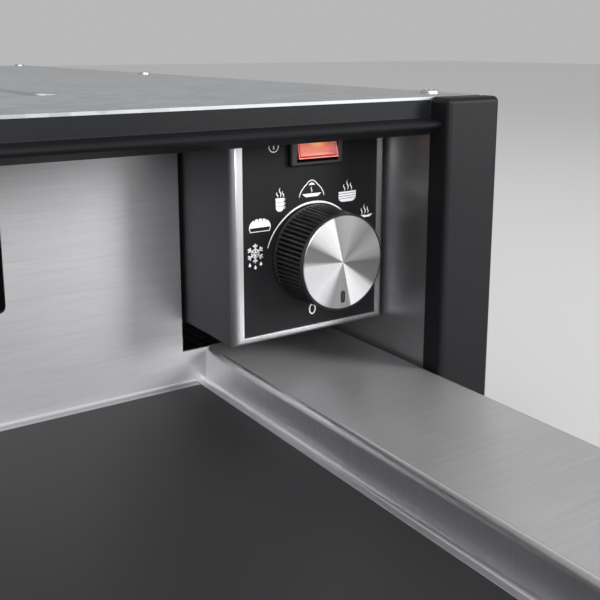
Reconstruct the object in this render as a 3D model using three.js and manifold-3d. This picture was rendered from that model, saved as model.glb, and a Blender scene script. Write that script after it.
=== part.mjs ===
// Built-in warming drawer, shown with its drawer pulled out. Millimetres, +X right, +Y into the niche, +Z up.
// The origin is the centre of the housing's underside, which rests on the floor of the niche.
// Inside the group, y = 0 is the front plane of the side trims, and the drawer is drawn in its shut place.
import * as THREE from "three";
import { mergeVertices } from "three/addons/utils/BufferGeometryUtils.js";
import Module from "manifold-3d";

const wasm = await Module();
wasm.setup();

// ---------- driving dimensions ----------

// Niche and housing
const nicheWidth = 560;
const nicheClearance = 2; // from the housing to the niche, each side
const housingHeight = 135;
const housingDepth = 540; // from the trim plane to the back of the back panel
const sheet = 1; // steel sheet of the housing and the drawer
const floorSheet = 1.5; // sheet of the housing's floor
const floorFlange = 12; // upturned edge of the housing's floor
const floorHem = 4.5; // low front edge of the housing's floor
const foldRadius = 0.3; // inside a tight fold
const film = 0.1; // paint and fit between two pieces that lie on each other
const coverVents = { count: 12, pitch: 9, width: 4, height: 26 };
const backVents = { count: 7, pitch: 9, width: 4, height: 60 };
const backVentsAt = 74; // from the middle, either side

// Side trims and the cross rail over the drawer
const trimWidth = 23.8;
const trimDepth = 8.9;
const trimSheet = 1.2;
const trimRadius = 2;
const crossRailSheet = 1;
const crossRailHeight = 12.7; // from the top cover down to the rail's lower face
const noseDrop = 7.8; // from the top cover down to the upper bend of the nose
const noseReach = 7.1; // how far the nose stands out of the rail's face, before its bend
const noseFall = 1.1; // slope of the nose's upper face
const crossRailReturn = 17; // lower flange, back into the housing
const crossRailRadius = 0.4; // inside its bends

// Drawer front
const frontOverlap = 17.5; // of the front over the niche's edges, each side
const frontBottom = 2.5; // above the floor of the niche
const frontRise = 4.5; // above the housing
const frontThickness = 20;
const frontSheet = 1.2;
const frontRadius = 1.5;
const frontGap = 2; // from the shut front to the trims
const bufferRadius = 5;
const lowerBufferHeight = 22;
const upperBufferDrop = 15; // below the housing's top

// Drawer body
const travel = 390; // how far the drawer pulls out
const rearWallGap = 17.3; // from the front face of the shut drawer's rear wall to the baffle
const rearWallUnderRail = 3.3; // from the rear wall's top to the cross rail's lower face
const rearWallHem = 9;
const rearWallSide = 2.2; // from the rear wall to the liners
const notchSide = 1.3; // from the control box to the notch in the rear wall
const rearInlet = { count: 9, pitch: 8, width: 4, height: 50 };
const rearOutlets = { count: 6, pitch: 9, width: 5, height: 36 };
const rearOutletsAt = 100; // from the middle, either side
const shelfHeight = 40; // top of the side shelves
const shelfWidth = 55.6;
const shelfSide = 1; // from the shelves to the liners
const shelfEdge = 4; // downturned outer edge of a shelf
const shelfFoot = 3.6; // flange at the foot of a shelf's rim
const shelfEnd = 0.4; // from the shelves to the rear wall
const bendRadius = 1.5; // inside the bends of the drawer's sheets
const matTop = 27.4;
const matThickness = 1.4;
const matEdge = 0.5; // between the mat and what frames it
const matCorner = 1.5;
const traySkirt = 17; // downturned edge of the drawer's floor
const bracketBottom = 6;
const bracketClear = 0.6; // from the front brackets to the floor above them
const shelfLedge = 14.6; // top flange of a side bracket, which carries the shelf
const frontBracketReach = 38; // along the front
const frontBracketLength = 60; // along the drawer

// Telescopic runners
const runnerFront = 12;
const runnerBackGap = 4; // from the runners to the baffle
const runnerBottom = 2.8;
const runnerHeight = 32;
const runnerDepth = 12; // of the member that is fixed to the liner
const runnerSheet = 1.2;
const runnerGap = 0.6; // running clearance between two members
const runnerHook = 3; // turned-in edge that holds the next member
const runnerRadius = 0.4;

// Control box
const boxSide = 1.3; // from the control box to the right liner
const boxWidth = 63.4;
const boxFront = 31; // front face, behind the trim plane
const boxDepth = 120;
const boxOverShelf = 11.9; // from the shelf to the box's lower face
const boxSheet = 1.2;
const boxRadius = 2.6;
const boxFrontSheet = 0.9;
const rimSide = 3.8; // bright rim round the fascia, left and right
const rimEnd = 2.9; // the same, top and bottom
const fasciaThickness = 1.5;
const ductWidth = 26;
const ductHeight = 24;

// Thermostat and its knob
const knobRise = 28.8; // axis above the control box's lower face
const knobFromRight = 30.4; // axis to the control box's right side
const knobLength = 17.1;
const knobGap = 0.6; // from the knob to the fascia
const knobBaseRadius = 17.3;
const knobFrontRadius = 16.6;
const knobRidges = 60;
const ridgeDepth = 0.5;
const capRadius = 15.9;
const capThickness = 1.2;
const capGap = 0.15;
const markWidth = 1.8;
const markLength = 4.3;
const markAt = 11.9; // from the axis to the middle of the mark
const shaftRadius = 3;
const shaftFlat = 2.2; // from the shaft's axis to its flat
const shaftStands = 12; // out of the fascia
const shaftInside = 14; // behind its face
const shaftGap = 0.2;
const thermostatRadius = 14;
const thermostatDepth = 28;
const thermostatFlange = [40, 12, 1.5]; // width, height, thickness

// Rocker switch
const rockerDrop = 14.5; // middle below the control box's upper face
const bezelWidth = 21.8;
const bezelHeight = 15;
const bezelStands = 2; // out of the fascia
const rockerBodyWidth = 19.2;
const rockerBodyHeight = 13.6;
const rockerBodyDepth = 20;
const rockerWidth = 16.4;
const rockerLength = 11; // along its face, top to bottom
const rockerGap = 0.6;
const rockerTilt = 8; // degrees either way of the middle
const rockerPivotBack = 1.5; // pivot behind the fascia's face
const rockerFace = 3.1; // from the pivot to the middle of the face
const bezelRadius = 0.8;
const pivotRadius = 0.9;
const pivotWall = 0.3; // left outside the pivot's holes
const wellDepth = 7.2; // from the pivot to the floor of the rocker's well
const lampRadius = 1.6;
const lampLength = 9;

// Heater chamber behind the drawer
const chamberDepth = 64; // from the housing's back to the baffle
const baffleInlet = { count: 7, pitch: 9, width: 5, height: 56 };
const baffleOutlets = { count: 6, pitch: 11, width: 6, height: 44 };
const baffleOutletsAt = 150; // from the middle, either side
const outletHeight = 84; // middle of the outlets above the floor
const impellerGap = 4.8; // from the impeller to the heater's ring
const bladeBand = 13.5; // from the impeller's inner edge to its outer one
const impellerDepth = 18;
const impellerBlades = 16;
const bladeTurn = 0.5; // radians from the radius
const impellerFront = 5; // from the baffle to the impeller
const fanHubRadius = 9;
const fanHubLength = 12;
const fanShaftRadius = 2.5;
const motorRadius = 30;
const motorDepth = 34;
const motorBoss = 2; // bearing boss in front of the motor
const motorBore = 28; // depth of the bearing's bore
const motorFeet = 3;
const motorFoot = [14, 3, 10]; // out, thickness, width
const motorFeetTurn = 0.5; // radians
const heaterFloorGap = 6.95; // from the heater's ring to the floor
const heaterTubeRadius = 3.2;
const heaterAt = 14; // ring behind the baffle
const heaterGap = 0.4; // from the heater to its clips
const heaterBend = 10;
const heaterTail = 16; // from the ring back to where its ends run straight
const heaterRingPoints = 17;
const heaterSteps = 52;
const heaterOpening = 0.6; // radians either side of the ring's lowest point
const clipWidth = 6;
const bulbRadius = 3;
const bulbLength = 60;
const bulbAt = [90, 6, 30]; // left end: x, behind the baffle, z
const bulbGap = 0.3;
const earHeight = 12;
const earShares = [0.2, 0.8]; // places of the ears along the bulb
const capillaryRadius = 0.9;
const capillarySteps = 48;
const cutoutAt = [-112, 100]; // x, z
const cutoutRadius = 8;
const cutoutDepth = 9;
const cutoutFlange = [30, 12]; // width, height
const cutoutTab = [1, 8, 6]; // thickness, length, width
const cutoutTabsAt = 4;
const terminalSize = [44, 20, 20];
const terminalFromSide = 102; // from the housing's side to the middle of the block
const terminalHeight = 96;
const terminalPitch = 13;
const wireRadius = 2.2;
const wireFromBack = 7;
const clampScrewRadius = 2.6;
const glandFromSide = 70; // from the housing's side
const glandHeight = 62;
const glandBore = 4;
const glandRadius = 9;
const glandFlange = 3; // nut and cap beyond the neck
const glandNut = 6;
const glandNeck = 3; // neck inside the nut
const glandStands = 8; // behind the back panel

// Touch latch under the drawer
const latchFromBaffle = 80; // tip of the plunger
const latchSize = [30, 52, 16];
const latchBack = 8; // solid end behind the plunger's bore
const plungerRadius = 4;
const plungerStands = 6;
const plungerLength = 30;
const plungerGap = 0.3;
const catchWidth = 24;
const catchFoot = 14;

// ---------- places that follow from the sizes ----------

const halfWidth = nicheWidth / 2 - nicheClearance;
const linerX = halfWidth - trimWidth; // inner face of the liners
const bayFront = trimDepth + film; // behind the trims
const coverUnder = housingHeight - sheet; // underside of the top cover
const innerTop = coverUnder - film;
const innerBack = housingDepth - sheet - film;
const glandX = halfWidth - glandFromSide;
const floorTop = floorSheet + film;
const baffleAt = housingDepth - chamberDepth;
const latchAt = baffleAt - latchFromBaffle;
const frontWidth = nicheWidth + 2 * frontOverlap;
const frontTop = housingHeight + frontRise;
const rearWallAt = baffleAt - rearWallGap; // drawer shut
const rearWallTop = coverUnder - crossRailHeight - rearWallUnderRail;
const runnerLength = baffleAt - runnerBackGap - runnerFront;
const shelfX = linerX - shelfSide; // outer edge of the right shelf
const rimX = shelfX - shelfWidth; // face of its rim
const trayTop = matTop - matThickness - film; // top of the drawer's floor
const boxRight = linerX - boxSide;
const boxLeft = boxRight - boxWidth;
const boxBack = boxFront + boxDepth;
const boxTop = innerTop - film;
const boxBottom = shelfHeight + boxOverShelf;
const notchX = boxLeft - notchSide;
const fasciaFace = boxFront + boxFrontSheet + film;
const knobX = boxRight - knobFromRight;
const knobHeight = boxBottom + knobRise;
const rockerHeight = boxTop - rockerDrop;
const runnerX = linerX - film; // back of the runner on the liner
const runnerFaceX = runnerX - runnerDepth - runnerSheet - film * 2; // side of the drawer's member
const bracketX = runnerFaceX - film; // outer face of the side bracket
const fanAt = baffleAt + sheet + impellerFront;
const fanHeight = (floorTop + innerTop) / 2;
const heaterRingRadius = fanHeight - floorTop - heaterFloorGap - heaterTubeRadius;
const impellerRadius = heaterRingRadius - heaterTubeRadius - impellerGap;
const impellerInner = impellerRadius - bladeBand;

// ---------- materials ----------

function material(color, roughness, metalness) {
  return new THREE.MeshStandardMaterial({ color, roughness, metalness });
}
const brushedSteel = material(0xc4c4c6, 0.35, 1);
const galvanised = material(0xa9acae, 0.5, 0.9);
const blackPaint = material(0x26272a, 0.45, 0.2);
const anthracite = material(0x35363a, 0.4, 0.4);
const satinSilver = material(0xd8d8da, 0.3, 0.9);
const fasciaBlack = material(0x2b2b2d, 0.4, 0);
const blackPlastic = material(0x17171a, 0.45, 0);
const spunMetal = material(0xdedee0, 0.25, 1);
const amberLens = material(0xff4a12, 0.25, 0);
const lampGlass = material(0xffd9a0, 0.1, 0);
const darkMat = material(0x2e2e30, 0.9, 0);
const rubber = material(0x1b1b1c, 0.8, 0);
const zinc = material(0xb9bdc2, 0.4, 0.9);
const heaterSteel = material(0x7b736b, 0.5, 0.9);
const copper = material(0xb06a3c, 0.4, 0.9);
const ceramicWhite = material(0xe9e6dc, 0.6, 0);

// ---------- shapes and solids ----------

const AXIS = {
  x: new THREE.Vector3(1, 0, 0),
  y: new THREE.Vector3(0, 1, 0),
  z: new THREE.Vector3(0, 0, 1),
};
const PAST = 1; // how far a cutting solid runs past what it cuts
const SLOT_SEGMENTS = 1; // per quarter of an air slot's round end

// A closed geometry as a manifold-3d solid.
function solidOf(geometry) {
  const bare = new THREE.BufferGeometry();
  const source = geometry.index ? geometry.toNonIndexed() : geometry;
  bare.setAttribute("position", source.getAttribute("position"));
  const merged = mergeVertices(bare, 1e-4);
  const vertProperties = merged.getAttribute("position").array;
  const triVerts = new Uint32Array(merged.index.array);
  return new wasm.Manifold(new wasm.Mesh({ numProp: 3, vertProperties, triVerts }));
}

function join(first, ...others) {
  return others.reduce((sum, other) => sum.add(other), first);
}

function cut(first, ...others) {
  return others.reduce((rest, other) => rest.subtract(other), first);
}

function prism(shape, depth, right, up, out, at, curveSegments = 3) {
  const geometry = new THREE.ExtrudeGeometry(shape, { depth, bevelEnabled: false, curveSegments });
  geometry.applyMatrix4(new THREE.Matrix4().makeBasis(right, up, out));
  return solidOf(geometry.translate(at.x, at.y, at.z));
}

// A (y, z) outline, extruded along x.
function alongX(shape, x0, x1, segments) {
  return prism(shape, x1 - x0, AXIS.y, AXIS.z, AXIS.x, new THREE.Vector3(x0, 0, 0), segments);
}

// An (x, z) outline, extruded along y.
function alongY(shape, y0, y1, segments) {
  const forward = AXIS.y.clone().negate();
  return prism(shape, y1 - y0, AXIS.x, AXIS.z, forward, new THREE.Vector3(0, y1, 0), segments);
}

// An (x, y) outline, extruded along z.
function alongZ(shape, z0, z1, segments) {
  return prism(shape, z1 - z0, AXIS.x, AXIS.y, AXIS.z, new THREE.Vector3(0, 0, z0), segments);
}

function block(x0, x1, y0, y1, z0, z1) {
  const geometry = new THREE.BoxGeometry(x1 - x0, y1 - y0, z1 - z0);
  return solidOf(geometry.translate((x0 + x1) / 2, (y0 + y1) / 2, (z0 + z1) / 2));
}

// A cylinder along y, with more sides the wider it is.
function cylinder(radius, length) {
  const sides = 4 * Math.round(2 + Math.sqrt(2 * radius));
  return new THREE.CylinderGeometry(radius, radius, length, sides);
}

function cylinderX(radius, x0, x1, y, z) {
  const geometry = cylinder(radius, x1 - x0).rotateZ(Math.PI / 2);
  return solidOf(geometry.translate((x0 + x1) / 2, y, z));
}

function cylinderY(radius, y0, y1, x = 0, z = 0) {
  return solidOf(cylinder(radius, y1 - y0).translate(x, (y0 + y1) / 2, z));
}

function cylinderZ(radius, z0, z1, x, y) {
  const geometry = cylinder(radius, z1 - z0).rotateX(Math.PI / 2);
  return solidOf(geometry.translate(x, y, (z0 + z1) / 2));
}

function roundedRectangle(x0, x1, y0, y1, radius) {
  const shape = new THREE.Shape();
  shape.moveTo(x0 + radius, y0);
  shape.lineTo(x1 - radius, y0);
  shape.absarc(x1 - radius, y0 + radius, radius, -Math.PI / 2, 0);
  shape.absarc(x1 - radius, y1 - radius, radius, 0, Math.PI / 2);
  shape.absarc(x0 + radius, y1 - radius, radius, Math.PI / 2, Math.PI);
  shape.absarc(x0 + radius, y0 + radius, radius, Math.PI, 1.5 * Math.PI);
  return shape;
}

// An upright slot with round ends.
function slot(x, z, width, height) {
  const end = width * 0.49; // a little under half, so that the ends keep a short flat
  return roundedRectangle(x - width / 2, x + width / 2, z - height / 2, z + height / 2, end);
}

function slotRow({ count, pitch, width, height }, x, z) {
  return Array.from({ length: count }, (_, i) => slot(x + (i - (count - 1) / 2) * pitch, z, width, height));
}

// The same row on either side of the middle.
function slotRows(row, x, z) {
  return [-x, x].flatMap((side) => slotRow(row, side, z));
}

// The section of a bent sheet: a middle line through the given points, with a round bend at each corner.
function bentSheet(points, thickness, innerRadius) {
  const line = points.map(([x, y]) => new THREE.Vector2(x, y));
  const half = thickness / 2;
  const bend = innerRadius + half;
  const heading = (i) => line[i + 1].clone().sub(line[i]).normalize();
  const left = (direction) => new THREE.Vector2(-direction.y, direction.x);
  const bends = line.slice(1, -1).map((corner, i) => {
    const before = heading(i);
    const after = heading(i + 1);
    const side = Math.sign(before.cross(after));
    const reach = bend * Math.tan(Math.acos(THREE.MathUtils.clamp(before.dot(after), -1, 1)) / 2);
    const start = corner.clone().addScaledVector(before, -reach);
    const end = corner.clone().addScaledVector(after, reach);
    const centre = start.clone().addScaledVector(left(before), side * bend);
    return { side, centre, from: start.sub(centre).angle(), to: end.sub(centre).angle() };
  });
  const shape = new THREE.Shape();
  const arc = ({ centre }, radius, from, to, clockwise) => {
    shape.lineTo(centre.x + radius * Math.cos(from), centre.y + radius * Math.sin(from));
    shape.absarc(centre.x, centre.y, radius, from, to, clockwise);
  };
  const first = left(heading(0)).multiplyScalar(half);
  const last = left(heading(line.length - 2)).multiplyScalar(half);
  const [start, end] = [line[0], line[line.length - 1]];
  shape.moveTo(start.x + first.x, start.y + first.y);
  bends.forEach((b) => arc(b, bend - b.side * half, b.from, b.to, b.side < 0));
  shape.lineTo(end.x + last.x, end.y + last.y);
  shape.lineTo(end.x - last.x, end.y - last.y);
  bends.reverse().forEach((b) => arc(b, bend + b.side * half, b.to, b.from, b.side > 0));
  shape.lineTo(start.x - first.x, start.y - first.y);
  return shape;
}

// A box whose front edges are rounded: the upright ones, and the top or bottom ones where asked.
function roundedFront(x0, x1, y0, y1, z0, z1, radius, { top = true, bottom = true } = {}) {
  const plan = roundedRectangle(x0, x1, y0, y1 + 2 * radius, radius);
  const low = bottom ? z0 : z0 - 2 * radius;
  const high = top ? z1 : z1 + 2 * radius;
  const side = roundedRectangle(y0, y1 + 2 * radius, low, high, radius);
  const body = alongZ(plan, z0, z1).intersect(alongX(side, x0 - PAST, x1 + PAST));
  return cut(body, block(x0 - PAST, x1 + PAST, y1, y1 + 3 * radius, z0 - PAST, z1 + PAST));
}

function smoothCurve(points) {
  return new THREE.CatmullRomCurve3(points, false, "centripetal");
}

// A round tube of eight sides along a curve.
function tube(curve, radius, steps) {
  const section = new THREE.Shape();
  for (let i = 0; i < 8; i += 1) {
    const angle = (i / 8) * 2 * Math.PI;
    const corner = [radius * Math.cos(angle), radius * Math.sin(angle)];
    if (i) section.lineTo(...corner);
    else section.moveTo(...corner);
  }
  return solidOf(new THREE.ExtrudeGeometry(section, { steps, extrudePath: curve, bevelEnabled: false }));
}

// ---------- the scene graph ----------

const warmingDrawer = new THREE.Group();
const appliance = new THREE.Group();
const drawer = new THREE.Group();
const middleRunners = new THREE.Group();
appliance.position.y = -housingDepth / 2;
drawer.position.y = -travel;
middleRunners.position.y = -travel / 2;
warmingDrawer.add(appliance);
appliance.add(drawer, middleRunners);

function addPiece(group, name, solid, finish) {
  const { vertProperties, triVerts } = solid.getMesh();
  const geometry = new THREE.BufferGeometry();
  geometry.setAttribute("position", new THREE.BufferAttribute(vertProperties, 3));
  geometry.setIndex(new THREE.BufferAttribute(triVerts, 1));
  const mesh = new THREE.Mesh(geometry.toNonIndexed(), finish);
  mesh.geometry.computeVertexNormals();
  mesh.name = name;
  group.add(mesh);
  return mesh;
}

// A right-hand piece and its mirror image on the left.
function addPair(group, name, solid, finish) {
  addPiece(group, `right_${name}`, solid, finish);
  addPiece(group, `left_${name}`, solid, finish).scale.x = -1;
}

// ---------- housing ----------

function basePan() {
  const outer = halfWidth - sheet - film - floorSheet / 2;
  const middle = floorSheet / 2;
  const points = [[-outer, floorFlange], [-outer, middle], [outer, middle], [outer, floorFlange]];
  const front = bayFront + sheet + film;
  const pan = alongY(bentSheet(points, floorSheet, sheet), front, innerBack);
  const hemX = runnerFaceX - frontGap;
  return join(pan, block(-hemX, hemX, front, front + floorSheet, sheet, floorHem));
}

function sidePanel() {
  const wall = halfWidth - sheet / 2;
  const inner = linerX + sheet + film;
  const points = [[inner, bayFront + sheet / 2], [wall, bayFront + sheet / 2], [wall, innerBack]];
  return alongZ(bentSheet(points, sheet, foldRadius), 0, innerTop);
}

function liner() {
  return block(linerX, linerX + sheet, bayFront, innerBack, floorTop, innerTop);
}

function topCover() {
  const overChamber = (baffleAt + innerBack) / 2;
  const vents = slotRow(coverVents, 0, overChamber).map((shape) => (
    alongZ(shape, coverUnder - PAST, housingHeight + PAST, SLOT_SEGMENTS)
  ));
  return cut(block(-halfWidth, halfWidth, bayFront, housingDepth, coverUnder, housingHeight), ...vents);
}

function backPanel() {
  const panel = block(-halfWidth, halfWidth, housingDepth - sheet, housingDepth, 0, innerTop);
  const through = [housingDepth - sheet - PAST, housingDepth + PAST];
  const vents = slotRows(backVents, backVentsAt, fanHeight);
  const gland = cylinderY(glandRadius + film, ...through, glandX, glandHeight);
  return cut(panel, gland, ...vents.map((shape) => alongY(shape, ...through, SLOT_SEGMENTS)));
}

function frontTrim() {
  const square = { bottom: false };
  const shell = roundedFront(linerX, halfWidth, 0, trimDepth, 0, housingHeight, trimRadius, square);
  const [x0, x1] = [linerX + trimSheet, halfWidth - trimSheet];
  return cut(shell, block(x0, x1, trimSheet, trimDepth + PAST, -PAST, housingHeight - trimSheet));
}

// A folded rail with a nose: face, sloping upper side of the nose, its slanting underside, lower flange.
function frontCrossRail() {
  const face = trimDepth + crossRailSheet / 2;
  const lower = coverUnder - crossRailHeight + crossRailSheet / 2;
  const nose = coverUnder - noseDrop;
  const points = [
    [face, innerTop],
    [face, nose],
    [face - noseReach, nose - noseFall],
    [face, lower],
    [face + crossRailReturn, lower],
  ];
  const end = linerX - film;
  return alongX(bentSheet(points, crossRailSheet, crossRailRadius), -end, end);
}

addPiece(appliance, "base_pan", basePan(), galvanised);
addPair(appliance, "side_panel", sidePanel(), galvanised);
addPair(appliance, "liner", liner(), brushedSteel);
addPiece(appliance, "top_cover", topCover(), galvanised);
addPiece(appliance, "back_panel", backPanel(), galvanised);
addPair(appliance, "front_trim", frontTrim(), blackPaint);
addPiece(appliance, "front_cross_rail", frontCrossRail(), blackPaint);

// ---------- control box ----------

function controlBox() {
  const shell = roundedFront(boxLeft, boxRight, boxFront, boxBack, boxBottom, boxTop, boxRadius);
  const inside = block(
    boxLeft + boxSheet, boxRight - boxSheet,
    boxFront + boxFrontSheet, boxBack + PAST,
    boxBottom + boxSheet, boxTop - boxSheet,
  );
  const window = block(
    boxLeft + rimSide, boxRight - rimSide,
    boxFront - PAST, boxFront + boxFrontSheet + PAST,
    boxBottom + rimEnd, boxTop - rimEnd,
  );
  return cut(shell, inside, window);
}

// A closing plate with a hole for the wiring duct.
function controlBoxCover() {
  const plate = block(boxLeft, boxRight, boxBack + film, boxBack + film + sheet, boxBottom, boxTop);
  const hole = block(
    boxRight - ductWidth + 2 * boxSheet, boxRight - 2 * boxSheet,
    boxBack - PAST, boxBack + 2 * PAST,
    boxTop - ductHeight + 2 * boxSheet, boxTop - 2 * boxSheet,
  );
  return cut(plate, hole);
}

function fasciaPlate() {
  const inset = boxSheet + film;
  const [y0, y1] = [fasciaFace, fasciaFace + fasciaThickness];
  const plate = block(boxLeft + inset, boxRight - inset, y0, y1, boxBottom + inset, boxTop - inset);
  const shaftHole = cylinderY(shaftRadius + shaftGap, y0 - PAST, y1 + PAST, knobX, knobHeight);
  const [halfX, halfZ] = [rockerBodyWidth / 2 + film, rockerBodyHeight / 2 + film];
  const rockerHole = block(
    knobX - halfX, knobX + halfX,
    y0 - PAST, y1 + PAST,
    rockerHeight - halfZ, rockerHeight + halfZ,
  );
  return cut(plate, shaftHole, rockerHole);
}

function wiringDuct() {
  const [x0, x1] = [boxRight - ductWidth + sheet / 2, boxRight - sheet / 2];
  const low = boxTop - ductHeight + sheet / 2;
  const points = [[x0, boxTop], [x0, low], [x1, low], [x1, boxTop]];
  return alongY(bentSheet(points, sheet, foldRadius), boxBack + 2 * film + sheet, baffleAt - film);
}

addPiece(appliance, "control_box", controlBox(), satinSilver);
addPiece(appliance, "control_box_cover", controlBoxCover(), galvanised);
addPiece(appliance, "fascia_plate", fasciaPlate(), fasciaBlack);
addPiece(appliance, "wiring_duct", wiringDuct(), galvanised);

// ---------- thermostat and knob ----------

// The group's origin is where the knob's axis meets the fascia's face.
const thermostat = new THREE.Group();
thermostat.position.set(knobX, fasciaFace, knobHeight);
appliance.add(thermostat);

// A round bar with a flat on its upper side, from y0 to y1.
function flattedBar(radius, flat, y0, y1) {
  const bar = cylinderY(radius, y0, y1);
  return cut(bar, block(-radius, radius, y0 - PAST, y1 + PAST, flat, 2 * radius));
}

function thermostatBody() {
  const front = fasciaThickness + film;
  const [width, height, thickness] = thermostatFlange;
  const flange = block(-width / 2, width / 2, front, front + thickness, -height / 2, height / 2);
  const can = cylinderY(thermostatRadius, front, front + thermostatDepth);
  const bore = cylinderY(shaftRadius + shaftGap, front - PAST, shaftInside + shaftGap);
  return cut(join(can, flange), bore);
}

// The knob's outline is a ring of ridges that tapers towards its front.
function knobBody() {
  const outline = new THREE.Shape();
  for (let i = 0; i < 2 * knobRidges; i += 1) {
    const angle = (i / knobRidges) * Math.PI;
    const radius = knobBaseRadius - (i % 2) * ridgeDepth;
    const corner = [radius * Math.cos(angle), radius * Math.sin(angle)];
    if (i) outline.lineTo(...corner);
    else outline.moveTo(...corner);
  }
  const back = -knobGap;
  const front = -knobLength;
  const geometry = new THREE.ExtrudeGeometry(outline, { depth: back - front, bevelEnabled: false });
  geometry.applyMatrix4(new THREE.Matrix4().makeBasis(AXIS.x, AXIS.z, AXIS.y.clone().negate()));
  geometry.translate(0, back, 0);
  const position = geometry.getAttribute("position");
  for (let i = 0; i < position.count; i += 1) {
    const share = (back - position.getY(i)) / (back - front);
    const taper = THREE.MathUtils.lerp(1, knobFrontRadius / knobBaseRadius, share);
    position.setXYZ(i, position.getX(i) * taper, position.getY(i), position.getZ(i) * taper);
  }
  const seat = cylinderY(capRadius + capGap, front - PAST, front + capThickness + film);
  const bore = flattedBar(shaftRadius + shaftGap, shaftFlat + shaftGap, -shaftStands - shaftGap, PAST);
  const bar = slot(0, -markAt, markWidth - 2 * capGap, markLength - 2 * capGap);
  const mark = alongY(bar, front, front + 2 * capThickness);
  return join(cut(solidOf(geometry), seat, bore), mark);
}

function knobCap() {
  const front = -knobLength;
  const disc = cylinderY(capRadius, front, front + capThickness);
  return cut(disc, alongY(slot(0, -markAt, markWidth, markLength), front - PAST, front + 2 * capThickness));
}

addPiece(thermostat, "thermostat_body", thermostatBody(), zinc);
const thermostatShaft = flattedBar(shaftRadius, shaftFlat, -shaftStands, shaftInside);
addPiece(thermostat, "thermostat_shaft", thermostatShaft, zinc);
addPiece(thermostat, "knob_body", knobBody(), blackPlastic);
addPiece(thermostat, "knob_cap", knobCap(), spunMetal);

// ---------- rocker switch ----------

// The group's origin is the middle of the rocker's pivot.
const rockerSwitch = new THREE.Group();
rockerSwitch.position.set(knobX, fasciaFace + rockerPivotBack, rockerHeight);
appliance.add(rockerSwitch);

function rockerHousing() {
  const face = -rockerPivotBack - film;
  const [outX, outZ] = [bezelWidth / 2, bezelHeight / 2];
  const bezel = roundedFront(-outX, outX, face - bezelStands, face, -outZ, outZ, bezelRadius);
  const [bodyX, bodyZ] = [rockerBodyWidth / 2, rockerBodyHeight / 2];
  const body = block(-bodyX, bodyX, face - sheet, rockerBodyDepth, -bodyZ, bodyZ);
  const halfX = rockerWidth / 2 + rockerGap / 2;
  const halfZ = rockerLength / 2 + rockerGap;
  const well = block(-halfX, halfX, face - bezelStands - PAST, wellDepth, -halfZ, halfZ);
  const pivotHoles = cylinderX(pivotRadius + 2 * film, pivotWall - bodyX, bodyX - pivotWall, 0, 0);
  return cut(join(bezel, body), well, pivotHoles);
}

// A shallow valley in front, a rounded keel behind, and a stub axle at each end.
function rockerButton() {
  const [half, rise] = [rockerLength / 2, (rockerLength / 2) * Math.tan((rockerTilt * Math.PI) / 180)];
  const profile = [
    [-rockerFace - rise, -half],
    [-rockerFace, 0],
    [-rockerFace - rise, half],
    [0, half],
    [rockerFace, half / 2],
    [rockerFace, -half / 2],
    [0, -half],
  ];
  const shape = new THREE.Shape(profile.map(([y, z]) => new THREE.Vector2(y, z)));
  const axleEnd = rockerWidth / 2 + 1.5 * rockerGap;
  const axle = cylinderX(pivotRadius, -axleEnd, axleEnd, 0, 0);
  return join(alongX(shape, -rockerWidth / 2, rockerWidth / 2), axle);
}

const lampBack = wellDepth - film - lampRadius;
addPiece(rockerSwitch, "rocker_housing", rockerHousing(), blackPlastic);
addPiece(rockerSwitch, "rocker_button", rockerButton(), amberLens).rotation.x = (-rockerTilt * Math.PI) / 180;
const lamp = cylinderX(lampRadius, -lampLength / 2, lampLength / 2, lampBack, 0);
addPiece(rockerSwitch, "indicator_lamp", lamp, lampGlass);

// ---------- heater chamber ----------

// A vented plate between the drawer and the fan, with two pressed ears for the thermostat's bulb.
function heaterBaffle() {
  const end = linerX - film;
  const plate = block(-end, end, baffleAt, baffleAt + sheet, floorTop, innerTop);
  const through = [baffleAt - PAST, baffleAt + sheet + PAST];
  const outlets = slotRows(baffleOutlets, baffleOutletsAt, outletHeight);
  const slots = [...slotRow(baffleInlet, 0, fanHeight), ...outlets];
  const duct = block(
    boxRight - ductWidth + 2 * sheet, boxRight - 2 * sheet,
    ...through,
    boxTop - ductHeight + 2 * sheet, boxTop - 2 * sheet,
  );
  const [x, back, z] = bulbAt;
  const ears = earShares.map((share) => {
    const left = x + share * bulbLength;
    const [low, high] = [z - earHeight / 2, z + earHeight / 2];
    const ear = block(left, left + sheet, baffleAt + sheet / 2, baffleAt + back + 2 * bulbRadius, low, high);
    return cut(ear, cylinderX(bulbRadius + bulbGap, left - PAST, left + 2 * PAST, baffleAt + back, z));
  });
  const vented = cut(plate, duct, ...slots.map((shape) => alongY(shape, ...through, SLOT_SEGMENTS)));
  return join(vented, ...ears);
}

// A ring round the fan, open at the bottom, whose ends bend back to the back panel.
function heatingElement() {
  const ringY = baffleAt + sheet + heaterAt;
  const point = (angle, y) => new THREE.Vector3(
    heaterRingRadius * Math.sin(angle), y, fanHeight - heaterRingRadius * Math.cos(angle),
  );
  const first = heaterOpening + heaterBend / heaterRingRadius;
  const ring = Array.from({ length: heaterRingPoints }, (_, i) => {
    const angle = THREE.MathUtils.lerp(first, 2 * Math.PI - first, i / (heaterRingPoints - 1));
    return point(angle, ringY);
  });
  const tail = (angle) => [innerBack - film, ringY + heaterTail].map((y) => point(angle, y));
  const route = [...tail(heaterOpening), ...ring, ...tail(-heaterOpening).reverse()];
  return tube(smoothCurve(route), heaterTubeRadius, heaterSteps);
}

function heaterClip() {
  const reach = heaterTubeRadius + heaterGap;
  const x = heaterRingRadius;
  const y = baffleAt + sheet + heaterAt;
  const [low, high] = [fanHeight - clipWidth / 2, fanHeight + clipWidth / 2];
  const outer = reach + sheet;
  const body = block(x - outer, x + outer, baffleAt + sheet + film, y + outer, low, high);
  return cut(body, cylinderZ(reach, low - PAST, high + PAST, x, y));
}

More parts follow.
